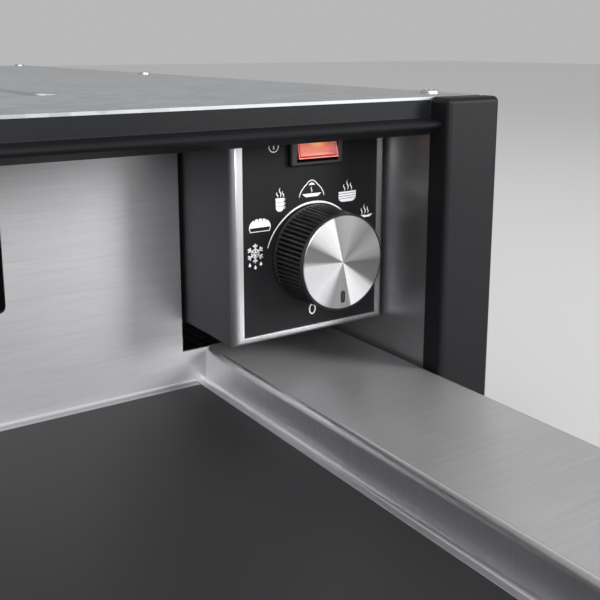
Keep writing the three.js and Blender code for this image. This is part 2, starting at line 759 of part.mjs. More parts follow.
// A cup of blades between a back disc and a front ring.
function fanImpeller() {
  const depth = impellerDepth;
  const disc = cylinderY(impellerRadius, depth - sheet, depth);
  const hub = cylinderY(fanHubRadius, depth - fanHubLength, depth);
  const eye = cylinderY(impellerInner, -PAST, sheet + PAST);
  const ring = cut(cylinderY(impellerRadius, 0, sheet), eye);
  const blades = Array.from({ length: impellerBlades }, (_, i) => {
    const blade = new THREE.BoxGeometry(impellerRadius - impellerInner - sheet, depth - sheet, sheet);
    blade.rotateY(bladeTurn).translate((impellerRadius + impellerInner) / 2, depth / 2, 0);
    return solidOf(blade.rotateY((i / impellerBlades) * 2 * Math.PI));
  });
  return cut(join(disc, hub, ring, ...blades), cylinderY(fanShaftRadius + film, -PAST, depth + PAST));
}

// A can with three feet on the back panel, and a bearing boss in front.
function fanMotor() {
  const back = innerBack - fanAt;
  const front = back - motorDepth;
  const can = cylinderY(motorRadius, front, back);
  const boss = cylinderY(fanHubRadius, front - motorBoss, front + PAST);
  const [out, thickness] = motorFoot;
  const feet = Array.from({ length: motorFeet }, (_, i) => {
    const foot = new THREE.BoxGeometry(...motorFoot);
    foot.translate(motorRadius + out / 3, back - thickness / 2, 0);
    return solidOf(foot.rotateY((i / motorFeet) * 2 * Math.PI + motorFeetTurn));
  });
  const bore = cylinderY(fanShaftRadius + 2 * film, front - motorBoss - PAST, front + motorBore);
  return cut(join(can, boss, ...feet), bore);
}

const fan = new THREE.Group();
fan.position.set(0, fanAt, fanHeight);
appliance.add(fan);
addPiece(fan, "fan_motor", fanMotor(), zinc);
addPiece(fan, "fan_impeller", fanImpeller(), galvanised);
const shaftEnd = innerBack - fanAt - motorDepth + motorBore - film;
addPiece(fan, "fan_shaft", cylinderY(fanShaftRadius, sheet, shaftEnd), zinc);

function thermalCutout() {
  const [x, z] = cutoutAt;
  const y = baffleAt + sheet + film;
  const [width, height] = cutoutFlange;
  const flange = block(x - width / 2, x + width / 2, y, y + sheet, z - height / 2, z + height / 2);
  const can = cylinderY(cutoutRadius, y, y + cutoutDepth, x, z);
  const [thickness, length, wide] = cutoutTab;
  const tabs = [x - cutoutTabsAt, x + cutoutTabsAt].map((at) => block(
    at - thickness / 2, at + thickness / 2,
    y + cutoutDepth - PAST, y + cutoutDepth + length,
    z - wide / 2, z + wide / 2,
  ));
  return join(flange, can, ...tabs);
}

// The bulb's thin pipe runs through the duct to the back of the thermostat.
function capillaryTube() {
  const [x, back, z] = bulbAt;
  const ductX = boxRight - ductWidth / 2;
  const ductZ = boxTop - ductHeight / 2;
  const end = x + bulbLength;
  const pipeX = knobX + thermostatRadius / 2;
  const route = [
    [end + bulbGap, baffleAt + back, z],
    [end + 16, baffleAt + back, z],
    [ductX - 14, baffleAt + 16, z + 24],
    [ductX, baffleAt + 22, ductZ - 26],
    [ductX, baffleAt + 14, ductZ - 4],
    [ductX, baffleAt - 16, ductZ],
    [ductX, baffleAt - 100, ductZ],
    [ductX, boxBack + 110, ductZ],
    [ductX, boxBack + 16, ductZ],
    [ductX, boxBack - 16, ductZ - 2],
    [pipeX, fasciaFace + 2 * thermostatDepth, knobHeight + 12],
    [pipeX, fasciaFace + thermostatDepth + 12, knobHeight + 1],
    [pipeX, fasciaFace + fasciaThickness + film + thermostatDepth + bulbGap, knobHeight],
  ];
  return tube(smoothCurve(route.map((p) => new THREE.Vector3(...p))), capillaryRadius, capillarySteps);
}

function terminalBlock() {
  const [x, z] = [halfWidth - terminalFromSide, terminalHeight];
  const [width, depth, height] = terminalSize;
  const [low, high] = [z - height / 2, z + height / 2];
  const body = block(x - width / 2, x + width / 2, innerBack - depth, innerBack, low, high);
  const wires = [-terminalPitch, 0, terminalPitch].flatMap((dx) => {
    const wire = cylinderZ(wireRadius, z - height, z + height, x + dx, innerBack - wireFromBack);
    const front = innerBack - depth - PAST;
    const screw = cylinderY(clampScrewRadius, front, innerBack - wireFromBack, x + dx, z);
    return [wire, screw];
  });
  return cut(body, ...wires);
}

// The mains lead's gland: a threaded neck in the back panel, a nut inside and a cap outside.
function cableGland() {
  const neck = glandRadius - 2 * film;
  const wide = glandRadius + glandFlange;
  const inside = innerBack - glandNut - glandNeck;
  const profile = [
    [glandBore, inside],
    [neck, inside],
    [neck, innerBack - glandNut],
    [wide, innerBack - glandNut],
    [wide, innerBack],
    [neck, innerBack],
    [neck, housingDepth + film],
    [wide, housingDepth + film],
    [wide, housingDepth + glandStands / 2],
    [(glandBore + wide) / 2, housingDepth + glandStands],
    [glandBore, housingDepth + glandStands],
    [glandBore, inside],
  ];
  const ring = new THREE.LatheGeometry(profile.map(([r, y]) => new THREE.Vector2(r, y)), 24);
  return solidOf(ring.translate(glandX, 0, glandHeight));
}

addPiece(appliance, "heater_baffle", heaterBaffle(), galvanised);
addPiece(appliance, "heating_element", heatingElement(), heaterSteel);
addPair(appliance, "heater_clip", heaterClip(), zinc);
addPiece(appliance, "thermal_cutout", thermalCutout(), blackPlastic);
const bulb = cylinderX(bulbRadius, bulbAt[0], bulbAt[0] + bulbLength, baffleAt + bulbAt[1], bulbAt[2]);
addPiece(appliance, "thermostat_bulb", bulb, copper);
addPiece(appliance, "capillary_tube", capillaryTube(), copper);
addPiece(appliance, "terminal_block", terminalBlock(), ceramicWhite);
addPiece(appliance, "cable_gland", cableGland(), blackPlastic);

// ---------- runners ----------

// A channel that opens towards the drawer, inset from the fixed member by so much on every side.
function runnerChannel(inset) {
  const half = runnerSheet / 2;
  const wall = runnerX - inset - half;
  const edge = runnerX - runnerDepth + inset + half;
  const low = runnerBottom + inset + half;
  const high = runnerBottom + runnerHeight - inset - half;
  const hook = runnerHook - half;
  const [upper, lower] = [[edge, high - hook], [edge, low + hook]];
  const points = [upper, [edge, high], [wall, high], [wall, low], [edge, low], lower];
  return alongY(bentSheet(points, runnerSheet, runnerRadius), runnerFront, runnerFront + runnerLength, 2);
}

// The drawer's member: a hat section whose lips run inside the middle channel.
function drawerRunner() {
  const half = runnerSheet / 2;
  const inset = 2 * (runnerSheet + runnerGap);
  const lip = runnerX - inset - half;
  const web = runnerFaceX + half;
  const middle = runnerBottom + runnerHeight / 2;
  const tip = runnerHeight / 2 - inset;
  const side = runnerHeight / 2 - (runnerSheet + runnerGap) - runnerHook - runnerGap - half;
  const points = [[lip, tip], [lip, side], [web, side], [web, -side], [lip, -side], [lip, -tip]];
  const raised = points.map(([x, z]) => [x, z + middle]);
  return alongY(bentSheet(raised, runnerSheet, runnerRadius), runnerFront, runnerFront + runnerLength, 2);
}

addPair(appliance, "fixed_runner", runnerChannel(0), zinc);
addPair(middleRunners, "middle_runner", runnerChannel(runnerSheet + runnerGap), zinc);
addPair(drawer, "drawer_runner", drawerRunner(), zinc);

// ---------- drawer ----------

const drawerFront = -frontGap + film; // where the drawer's body meets its front

function drawerFloor() {
  const outer = bracketX - sheet - film - sheet / 2;
  const [low, high] = [trayTop - traySkirt, trayTop - sheet / 2];
  const points = [[-outer, low], [-outer, high], [outer, high], [outer, low]];
  return alongY(bentSheet(points, sheet, foldRadius), drawerFront, rearWallAt + sheet);
}

function antiSlipMat() {
  const x = rimX - shelfFoot - matEdge;
  const back = rearWallAt - bendRadius - 2 * sheet - matEdge;
  const outline = roundedRectangle(-x, x, drawerFront + matEdge, back, matCorner);
  return alongZ(outline, matTop - matThickness, matTop);
}

// One sheet: a foot, the wall, a hem at its top, air slots, and a notch that clears the control box.
function rearWall() {
  const foot = trayTop + film + sheet / 2;
  const wall = rearWallAt + sheet / 2;
  const front = rearWallAt - bendRadius - 2 * sheet;
  const top = rearWallTop - sheet / 2;
  const points = [[front, foot], [wall, foot], [wall, top], [wall + rearWallHem, top]];
  const end = linerX - rearWallSide;
  const folded = alongX(bentSheet(points, sheet, bendRadius), -end, end);
  const footEnd = rimX - shelfFoot - matEdge;
  const corners = [-1, 1].flatMap((side) => {
    const outside = (x) => [side * x, side * (end + PAST)].sort((a, b) => a - b);
    const footCorner = block(...outside(footEnd), front - PAST, rearWallAt, 0, foot + bendRadius + sheet);
    const runnerTop = runnerBottom + runnerHeight + runnerGap;
    const runnerCorner = block(...outside(bracketX - film), front, rearWallAt + 2 * sheet, 0, runnerTop);
    return [footCorner, runnerCorner];
  });
  const hem = rearWallAt + rearWallHem + 2 * PAST;
  const notch = block(notchX, end + PAST, front, hem, shelfHeight, rearWallTop + PAST);
  const rows = [...slotRow(rearInlet, 0, fanHeight), ...slotRows(rearOutlets, rearOutletsAt, outletHeight)];
  const through = [rearWallAt - PAST, rearWallAt + sheet + PAST, SLOT_SEGMENTS];
  const slots = rows.map((shape) => alongY(shape, ...through));
  return cut(folded, ...corners, notch, ...slots);
}

// Outer edge, shelf, round inner bend, rim wall and the small flange at its foot.
function shelf() {
  const half = sheet / 2;
  const points = [
    [shelfX - half, shelfHeight - shelfEdge],
    [shelfX - half, shelfHeight - half],
    [rimX + half, shelfHeight - half],
    [rimX + half, trayTop + film + half],
    [rimX - shelfFoot, trayTop + film + half],
  ];
  return alongY(bentSheet(points, sheet, bendRadius), drawerFront, rearWallAt - shelfEnd, 5);
}

// An angle between the runner and the shelf that it carries.
function sideBracket() {
  const wall = bracketX - sheet / 2;
  const top = shelfHeight - sheet - film - sheet / 2;
  const points = [[wall, bracketBottom], [wall, top], [wall - shelfLedge, top]];
  return alongY(bentSheet(points, sheet, foldRadius), runnerFront, rearWallAt - sheet);
}

// An angle between the drawer's floor and its front.
function frontBracket() {
  const wall = bracketX - 2 * sheet - 2 * film - sheet / 2;
  const face = drawerFront + sheet / 2;
  const points = [[wall - frontBracketReach, face], [wall, face], [wall, frontBracketLength]];
  return alongZ(bentSheet(points, sheet, foldRadius), trayTop - traySkirt, trayTop - sheet - bracketClear);
}

function frontPanel() {
  const [x, back, front] = [frontWidth / 2, -frontGap, -frontGap - frontThickness];
  const shell = roundedFront(-x, x, front, back, frontBottom, frontTop, frontRadius);
  const [inX, inLow, inHigh] = [x - frontSheet, frontBottom + frontSheet, frontTop - frontSheet];
  return cut(shell, block(-inX, inX, front + frontSheet, back + PAST, inLow, inHigh));
}

function frontBackPlate() {
  const inset = frontSheet + film;
  const x = frontWidth / 2 - inset;
  return block(-x, x, -frontGap - sheet, -frontGap, frontBottom + inset, frontTop - inset);
}

function latchCatch() {
  const back = latchAt - plungerGap;
  const top = trayTop - sheet - film - sheet / 2;
  const points = [[back - catchFoot, top], [back - sheet / 2, top], [back - sheet / 2, bracketBottom]];
  return alongX(bentSheet(points, sheet, foldRadius), -catchWidth / 2, catchWidth / 2);
}

addPiece(drawer, "drawer_floor", drawerFloor(), brushedSteel);
addPiece(drawer, "anti_slip_mat", antiSlipMat(), darkMat);
addPiece(drawer, "rear_wall", rearWall(), brushedSteel);
addPair(drawer, "shelf", shelf(), brushedSteel);
addPair(drawer, "side_bracket", sideBracket(), galvanised);
addPair(drawer, "front_bracket", frontBracket(), galvanised);
addPiece(drawer, "front_panel", frontPanel(), anthracite);
addPiece(drawer, "front_back_plate", frontBackPlate(), brushedSteel);
const bufferHeights = { lower: lowerBufferHeight, upper: housingHeight - upperBufferDrop };
Object.entries(bufferHeights).forEach(([level, height]) => {
  const x = (linerX + halfWidth) / 2; // over the middle of a trim
  const buffer = cylinderY(bufferRadius, -frontGap + film, -film, x, height);
  addPair(drawer, `${level}_buffer`, buffer, rubber);
});
addPiece(drawer, "latch_catch", latchCatch(), zinc);

// ---------- touch latch ----------

const latch = new THREE.Group();
latch.position.set(0, latchAt, floorTop + latchSize[2] / 2);
appliance.add(latch);

function latchBody() {
  const [width, length, height] = latchSize;
  const body = block(-width / 2, width / 2, plungerStands, plungerStands + length, -height / 2, height / 2);
  return cut(body, cylinderY(plungerRadius + plungerGap, 0, plungerStands + length - latchBack));
}

addPiece(latch, "latch_body", latchBody(), blackPlastic);
addPiece(latch, "latch_plunger", cylinderY(plungerRadius, 0, plungerLength), blackPlastic);

export default warmingDrawer;
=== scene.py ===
"""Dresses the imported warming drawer.

It makes the sheet metal, control box, knob, rocker and finishes, and the studio round them.
"""

import math

import bmesh
import bpy
from bpy.props import FloatProperty, FloatVectorProperty, IntProperty, PointerProperty
from mathutils import Matrix, Vector


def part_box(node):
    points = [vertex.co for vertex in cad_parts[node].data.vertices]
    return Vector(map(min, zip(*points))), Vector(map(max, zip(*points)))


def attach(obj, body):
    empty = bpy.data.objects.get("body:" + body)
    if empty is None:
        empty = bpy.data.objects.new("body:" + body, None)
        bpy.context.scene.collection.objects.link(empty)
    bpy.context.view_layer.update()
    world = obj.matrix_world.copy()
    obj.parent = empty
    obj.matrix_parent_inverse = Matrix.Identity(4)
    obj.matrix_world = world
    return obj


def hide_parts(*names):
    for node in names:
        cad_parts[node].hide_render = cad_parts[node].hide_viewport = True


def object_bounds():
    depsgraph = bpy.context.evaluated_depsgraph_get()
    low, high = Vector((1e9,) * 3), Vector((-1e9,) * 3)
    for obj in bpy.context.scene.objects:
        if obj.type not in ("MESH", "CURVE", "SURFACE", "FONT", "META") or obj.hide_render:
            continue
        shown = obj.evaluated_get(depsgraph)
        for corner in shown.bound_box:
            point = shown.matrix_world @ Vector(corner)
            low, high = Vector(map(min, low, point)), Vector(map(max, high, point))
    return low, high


bl_info = {
    "name": "Warming Drawer",
    "version": (1, 0, 0),
    "blender": (4, 5, 0),
    "location": "3D View > Sidebar > Warming Drawer",
    "description": "Models the visible pieces of a built in warming drawer over its packed frame",
    "category": "Object",
}

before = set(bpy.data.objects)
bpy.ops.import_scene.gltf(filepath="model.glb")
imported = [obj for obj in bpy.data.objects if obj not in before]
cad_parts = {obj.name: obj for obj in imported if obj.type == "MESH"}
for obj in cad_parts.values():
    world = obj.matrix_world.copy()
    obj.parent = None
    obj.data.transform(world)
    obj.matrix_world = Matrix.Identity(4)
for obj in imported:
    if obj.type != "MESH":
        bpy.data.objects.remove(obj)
cad_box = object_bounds()

MM = 0.001
SMOOTH_ANGLE = math.radians(32)  # edges sharper than this stay crisp
EPS = 0.02 * MM  # two places nearer than this are the same
PAST = 2 * MM  # how far a cutter runs past what it cuts
SLOT_ROUND = 0.49  # rounds a slot's ends by nearly half its width, so that the round edges don't meet
ROCKER_FLANK = math.radians(8)  # how far each half of the rocker's button slopes, and so its tilt
X, Y, Z = Vector((1, 0, 0)), Vector((0, 1, 0)), Vector((0, 0, 1))


# ---------------------------------------------------------------- modelling


def object_mode():
    if bpy.context.mode != "OBJECT":
        bpy.ops.object.mode_set(mode="OBJECT")


def deselect():
    object_mode()
    bpy.ops.object.select_all(action="DESELECT")


def only(piece):
    """Leaves this piece alone selected, and active."""
    deselect()
    piece.select_set(True)
    bpy.context.view_layer.objects.active = piece


def place_in_mesh(piece):
    only(piece)
    bpy.ops.object.transform_apply(location=True, rotation=True, scale=True)


def cuboid(name, low, high):
    """A box between two corners, to be shaped further."""
    deselect()
    low, high = Vector(low), Vector(high)
    bpy.ops.mesh.primitive_cube_add(size=1, location=(low + high) / 2)
    piece = bpy.context.object
    piece.name = piece.data.name = name
    piece.scale = high - low
    place_in_mesh(piece)
    return piece


def disc(name, centre, radius, vertices, facing=-Y):
    """A filled circle that faces a direction, to be extruded."""
    deselect()
    turn = facing.to_track_quat("Z", "Y").to_euler()
    bpy.ops.mesh.primitive_circle_add(
        vertices=vertices, radius=radius, fill_type="NGON", location=centre, rotation=turn
    )
    piece = bpy.context.object
    piece.name = piece.data.name = name
    place_in_mesh(piece)
    return piece


def pick(piece, kind, test):
    """In edit mode, selects the vertices, edges or faces that pass the test, and nothing else."""
    if bpy.context.mode != "EDIT_MESH":
        only(piece)
        bpy.ops.object.mode_set(mode="EDIT")
    bpy.ops.mesh.select_mode(type=kind)
    bpy.ops.mesh.select_all(action="DESELECT")
    mesh = bmesh.from_edit_mesh(piece.data)
    parts = {"VERT": mesh.verts, "EDGE": mesh.edges, "FACE": mesh.faces}[kind]
    for part in parts:
        if test(part):
            part.select_set(True)
    bmesh.update_edit_mesh(piece.data)


def near(a, b):
    return abs(a - b) < EPS


def middle(edge):
    return (edge.verts[0].co + edge.verts[1].co) / 2


def runs_along(edge, direction):
    line = edge.verts[1].co - edge.verts[0].co
    return line.length > EPS and abs(line.normalized().dot(direction)) > 0.999


def extrude(move):
    bpy.ops.mesh.extrude_region_move(TRANSFORM_OT_translate={"value": move})


def extrude_and_scale(move, scale, centre):
    """Extrudes what is selected, then draws it in or out towards a centre."""
    extrude(move)
    bpy.ops.transform.resize(value=scale, center_override=centre)


def outward(piece):
    """Merges what coincides and turns every face outwards."""
    only(piece)
    bpy.ops.object.mode_set(mode="EDIT")
    bpy.ops.mesh.select_all(action="SELECT")
    bpy.ops.mesh.remove_doubles(threshold=0.002 * MM)
    bpy.ops.mesh.normals_make_consistent(inside=False)
    object_mode()


def apply_modifier(piece, kind, **settings):
    only(piece)
    modifier = piece.modifiers.new(kind.title(), kind)
    for name, value in settings.items():
        setattr(modifier, name, value)
    bpy.ops.object.modifier_apply(modifier=modifier.name)


def soften(piece, width, segments=2):
    """Breaks the sharp edges and smooths the rest."""
    apply_modifier(
        piece, "BEVEL", width=width, segments=segments, limit_method="ANGLE", angle_limit=SMOOTH_ANGLE
    )
    smooth(piece)


def smooth(piece):
    """Smooths the round parts, and keeps the flat ones flat."""
    only(piece)
    bpy.ops.object.shade_smooth_by_angle(angle=SMOOTH_ANGLE)
    apply_modifier(piece, "WEIGHTED_NORMAL", mode="FACE_AREA", weight=90, keep_sharp=True)


def copy_of(piece, name):
    twin = piece.copy()
    twin.data = piece.data.copy()
    twin.name = twin.data.name = name
    bpy.context.scene.collection.objects.link(twin)
    return twin


def moved_copy(piece, name, move):
    twin = copy_of(piece, name)
    twin.location = move
    place_in_mesh(twin)
    return twin


def mirrored_copy(piece, name):
    """The left-hand twin of a right-hand piece."""
    twin = copy_of(piece, name)
    twin.scale.x = -1
    place_in_mesh(twin)
    outward(twin)
    smooth(twin)
    return twin


def joined(pieces, name):
    deselect()
    for piece in pieces:
        piece.select_set(True)
    bpy.context.view_layer.objects.active = pieces[0]
    if len(pieces) > 1:
        bpy.ops.object.join()
    pieces[0].name = pieces[0].data.name = name
    return pieces[0]


def cut(piece, cutter):
    apply_modifier(piece, "BOOLEAN", operation="DIFFERENCE", solver="EXACT", object=cutter)
    bpy.data.objects.remove(cutter, do_unlink=True)


def folded_sheet(name, path, start, end, axis, thickness, bend, segments=8):
    """A bent sheet: a plane drawn out edge by edge along a path, its folds rounded, then given its thickness.

    The path is the middle line, as (x, z) for a sheet along Y and (y, z) for one along X.
    """

    def at(point):
        return Vector((point[0], 0, point[1])) if axis == Y else Vector((0, point[0], point[1]))

    corners = [at(point) for point in path]
    first = corners[1] - corners[0]
    deselect()
    place = (corners[0] + corners[1]) / 2 + axis * (start + end) / 2
    bpy.ops.mesh.primitive_plane_add(size=1, location=place)
    sheet = bpy.context.object
    sheet.name = sheet.data.name = name
    along = first.normalized()
    sheet.rotation_euler = Matrix((axis, along, axis.cross(along))).transposed().to_euler()
    sheet.scale = (end - start, first.length, 1)
    place_in_mesh(sheet)
    for here, there in zip(corners[1:], corners[2:]):
        pick(sheet, "EDGE", lambda e: runs_along(e, axis) and (flat(middle(e), axis) - here).length < EPS)
        extrude(there - here)
    for before, corner, after in zip(corners, corners[1:], corners[2:]):
        turn = (corner - before).angle(after - corner)
        pick(sheet, "EDGE", lambda e: runs_along(e, axis) and (flat(middle(e), axis) - corner).length < EPS)
        reach = (bend + thickness / 2) * math.tan(turn / 2)
        bpy.ops.mesh.bevel(offset=reach, segments=segments, affect="EDGES", profile=0.5, clamp_overlap=False)
    object_mode()
    outward(sheet)
    apply_modifier(sheet, "SOLIDIFY", thickness=thickness, offset=0, use_even_offset=True, use_rim=True)
    outward(sheet)
    return sheet


def flat(point, axis):
    """The point without its share along an axis."""
    return point - axis * point.dot(axis)


def upright_slots(name, places, width, height, y0, y1):
    """Cutters for upright air slots with round ends, one modelled and the rest copied."""
    x, z = places[0]
    first = cuboid(name, (x - width / 2, y0, z - height / 2), (x + width / 2, y1, z + height / 2))
    pick(first, "EDGE", lambda e: runs_along(e, Y))
    bpy.ops.mesh.bevel(offset=width * SLOT_ROUND, segments=5, affect="EDGES", profile=0.5)
    object_mode()
    outward(first)
    others = [moved_copy(first, name, (px - x, 0, pz - z)) for px, pz in places[1:]]
    return joined([first, *others], name)


# ---------------------------------------------------------------- shader groups


def socket(group, name, way, kind, default=None):
    item = group.interface.new_socket(name=name, in_out=way, socket_type=kind)
    if default is not None:
        item.default_value = default


def add_node(tree, kind, inputs=None, **settings):
    node = tree.nodes.new(kind)
    for name, value in settings.items():
        setattr(node, name, value)
    for name, value in (inputs or {}).items():
        node.inputs[name].default_value = value
    return node


def new_group(name, inputs, outputs):
    group = bpy.data.node_groups.new(name, "ShaderNodeTree")
    for label, kind, default in inputs:
        socket(group, label, "INPUT", kind, default)
    for label, kind in outputs:
        socket(group, label, "OUTPUT", kind)
    return group, group.nodes.new("NodeGroupInput"), group.nodes.new("NodeGroupOutput")


FLOAT, VECTOR = "NodeSocketFloat", "NodeSocketVector"


def grain_group():
    """Fine lines of a brushed or rolled sheet, and the slow clouding under them."""
    group, given, out = new_group(
        "brushed_grain",
        [
            ("Coordinates", VECTOR, None),
            ("Line Scale", VECTOR, (30, 3000, 3000)),
            ("Cloud Scale", FLOAT, 9.0),
            ("Contrast", FLOAT, 0.5),
        ],
        [("Lines", FLOAT), ("Clouds", FLOAT)],
    )
    link = group.links.new
    stretch = add_node(group, "ShaderNodeVectorMath", operation="MULTIPLY")
    link(given.outputs["Coordinates"], stretch.inputs[0])
    link(given.outputs["Line Scale"], stretch.inputs[1])
    fine = add_node(group, "ShaderNodeTexNoise", {"Scale": 1.0, "Detail": 3.0, "Roughness": 0.62})
    link(stretch.outputs[0], fine.inputs["Vector"])
    coarse = add_node(group, "ShaderNodeTexNoise", {"Scale": 0.27, "Detail": 2.0, "Roughness": 0.5})
    link(stretch.outputs[0], coarse.inputs["Vector"])
    both = add_node(group, "ShaderNodeMix", {"Factor": 0.4}, data_type="FLOAT")
    link(fine.outputs["Fac"], both.inputs[2])
    link(coarse.outputs["Fac"], both.inputs[3])
    centre = add_node(group, "ShaderNodeMath", {1: 0.5}, operation="SUBTRACT")
    link(both.outputs[0], centre.inputs[0])
    strength = add_node(group, "ShaderNodeMath", operation="MULTIPLY")
    link(centre.outputs[0], strength.inputs[0])
    link(given.outputs["Contrast"], strength.inputs[1])
    back = add_node(group, "ShaderNodeMath", {1: 0.5}, operation="ADD", use_clamp=True)
    link(strength.outputs[0], back.inputs[0])
    link(back.outputs[0], out.inputs["Lines"])
    cloud = add_node(group, "ShaderNodeTexNoise", {"Detail": 2.5, "Roughness": 0.55})
    link(given.outputs["Coordinates"], cloud.inputs["Vector"])
    link(given.outputs["Cloud Scale"], cloud.inputs["Scale"])
    link(cloud.outputs["Fac"], out.inputs["Clouds"])
    return group


def speckle_group():
    """Fine orange peel or moulded texture, and soft smudges of handling."""
    group, given, out = new_group(
        "fine_texture",
        [
            ("Coordinates", VECTOR, None),
            ("Peel Scale", FLOAT, 900.0),
            ("Smudge Scale", FLOAT, 14.0),
        ],
        [("Peel", FLOAT), ("Smudges", FLOAT)],
    )
    link = group.links.new
    peel = add_node(group, "ShaderNodeTexNoise", {"Detail": 1.5, "Roughness": 0.5})
    link(given.outputs["Coordinates"], peel.inputs["Vector"])
    link(given.outputs["Peel Scale"], peel.inputs["Scale"])
    link(peel.outputs["Fac"], out.inputs["Peel"])
    smudge = add_node(group, "ShaderNodeTexNoise", {"Detail": 3.0, "Roughness": 0.5, "Distortion": 0.15})
    link(given.outputs["Coordinates"], smudge.inputs["Vector"])
    link(given.outputs["Smudge Scale"], smudge.inputs["Scale"])
    ramp = add_node(group, "ShaderNodeMapRange", {"From Min": 0.28, "From Max": 0.74})
    link(smudge.outputs["Fac"], ramp.inputs["Value"])
    link(ramp.outputs[0], out.inputs["Smudges"])
    return group


def spangle_group():
    """The crystal pattern of a hot dipped zinc coat."""
    group, given, out = new_group(
        "zinc_spangle",
        [("Coordinates", VECTOR, None), ("Crystal Scale", FLOAT, 130.0)],
        [("Crystals", FLOAT)],
    )
    link = group.links.new
    wobble = add_node(group, "ShaderNodeTexNoise", {"Scale": 160.0, "Detail": 2.0})
    link(given.outputs["Coordinates"], wobble.inputs["Vector"])
    shift = add_node(group, "ShaderNodeVectorMath", {1: (0.004, 0.004, 0.004)}, operation="MULTIPLY")
    link(wobble.outputs["Color"], shift.inputs[0])
    warped = add_node(group, "ShaderNodeVectorMath", operation="ADD")
    link(given.outputs["Coordinates"], warped.inputs[0])
    link(shift.outputs[0], warped.inputs[1])
    cells = add_node(group, "ShaderNodeTexVoronoi", feature="F1")
    link(warped.outputs[0], cells.inputs["Vector"])
    link(given.outputs["Crystal Scale"], cells.inputs["Scale"])
    value = add_node(group, "ShaderNodeSeparateColor")
    link(cells.outputs["Color"], value.inputs[0])
    link(value.outputs[0], out.inputs["Crystals"])
    return group


# ---------------------------------------------------------------- finishes


def new_finish(name, colour, roughness, metallic=0.0, specular=0.5):
    material = bpy.data.materials.new(name)
    material.use_nodes = True
    tree = material.node_tree
    shader = tree.nodes["Principled BSDF"]
    shader.inputs["Base Color"].default_value = (*colour, 1)
    shader.inputs["Roughness"].default_value = roughness
    shader.inputs["Metallic"].default_value = metallic
    shader.inputs["Specular IOR Level"].default_value = specular
    coordinates = tree.nodes.new("ShaderNodeTexCoord").outputs["Object"]
    return material, tree, shader, coordinates


def place_group(tree, group, coordinates, inputs):
    node = add_node(tree, "ShaderNodeGroup", node_tree=group)
    for label, value in inputs.items():
        node.inputs[label].default_value = value
    tree.links.new(coordinates, node.inputs["Coordinates"])
    return node


def vary(tree, value, low, high, target, start=0.0, end=1.0):
    """Drives a socket between two values by a mask."""
    span = add_node(
        tree, "ShaderNodeMapRange", {"From Min": start, "From Max": end, "To Min": low, "To Max": high}
    )
    tree.links.new(value, span.inputs["Value"])
    tree.links.new(span.outputs[0], target)


def tint(tree, mask, dark, light, target):
    """Blends two colours by a mask into a colour socket."""
    mix = add_node(tree, "ShaderNodeMix", data_type="RGBA")
    mix.inputs[6].default_value = (*dark, 1)
    mix.inputs[7].default_value = (*light, 1)
    tree.links.new(mask, mix.inputs[0])
    tree.links.new(mix.outputs[2], target)


def relief(tree, shader, height, distance):
    bump = add_node(tree, "ShaderNodeBump", {"Distance": distance, "Strength": 1.0})
    tree.links.new(height, bump.inputs["Height"])
    tree.links.new(bump.outputs["Normal"], shader.inputs["Normal"])


def scaled(colour, factor):
    return tuple(min(1.0, c * factor) for c in colour)


def brushed_finish(
    name, colour, lines, roughness, tangent, groups, anisotropy=0.75, contrast=0.9, depth=0.004
):
    """Steel brushed one way, whose highlights stretch along the tangent. The depth is in millimetres."""
    material, tree, shader, coordinates = new_finish(name, colour, roughness, metallic=1.0)
    shader.inputs["Anisotropic"].default_value = anisotropy
    grain = place_group(
        tree, groups["grain"], coordinates, {"Line Scale": lines, "Cloud Scale": 7.0, "Contrast": contrast}
    )
    touch = place_group(tree, groups["texture"], coordinates, {"Peel Scale": 300.0, "Smudge Scale": 11.0})
    tint(tree, grain.outputs["Lines"], scaled(colour, 0.8), scaled(colour, 1.18), shader.inputs["Base Color"])
    total = add_node(tree, "ShaderNodeMix", {"Factor": 0.45}, data_type="FLOAT")
    tree.links.new(grain.outputs["Clouds"], total.inputs[2])
    tree.links.new(touch.outputs["Smudges"], total.inputs[3])
    vary(tree, total.outputs[0], roughness - 0.05, roughness + 0.08, shader.inputs["Roughness"], 0.2, 0.8)
    relief(tree, shader, grain.outputs["Lines"], depth * MM)
    direction = add_node(tree, "ShaderNodeCombineXYZ", {"X": tangent.x, "Y": tangent.y, "Z": tangent.z})
    tree.links.new(direction.outputs[0], shader.inputs["Tangent"])
    return material


def fade_to_painted_shade(material, start, end, colour):
    """Lets a finish turn into a darker one from front to back, between two places along Y: a painted fall-off
    from highlight into painted shade across a round edge.
    """
    tree = material.node_tree
    shader = tree.nodes["Principled BSDF"]
    front = shader.inputs["Base Color"].links[0].from_socket
    split = add_node(tree, "ShaderNodeSeparateXYZ")
    tree.links.new(tree.nodes["Texture Coordinate"].outputs["Object"], split.inputs[0])
    mask = add_node(
        tree, "ShaderNodeMapRange", {"From Min": start, "From Max": end}, interpolation_type="SMOOTHSTEP"
    )
    tree.links.new(split.outputs["Y"], mask.inputs["Value"])
    tint(tree, mask.outputs[0], (0, 0, 0), colour, shader.inputs["Base Color"])
    tree.links.new(front, shader.inputs["Base Color"].links[0].from_node.inputs[6])


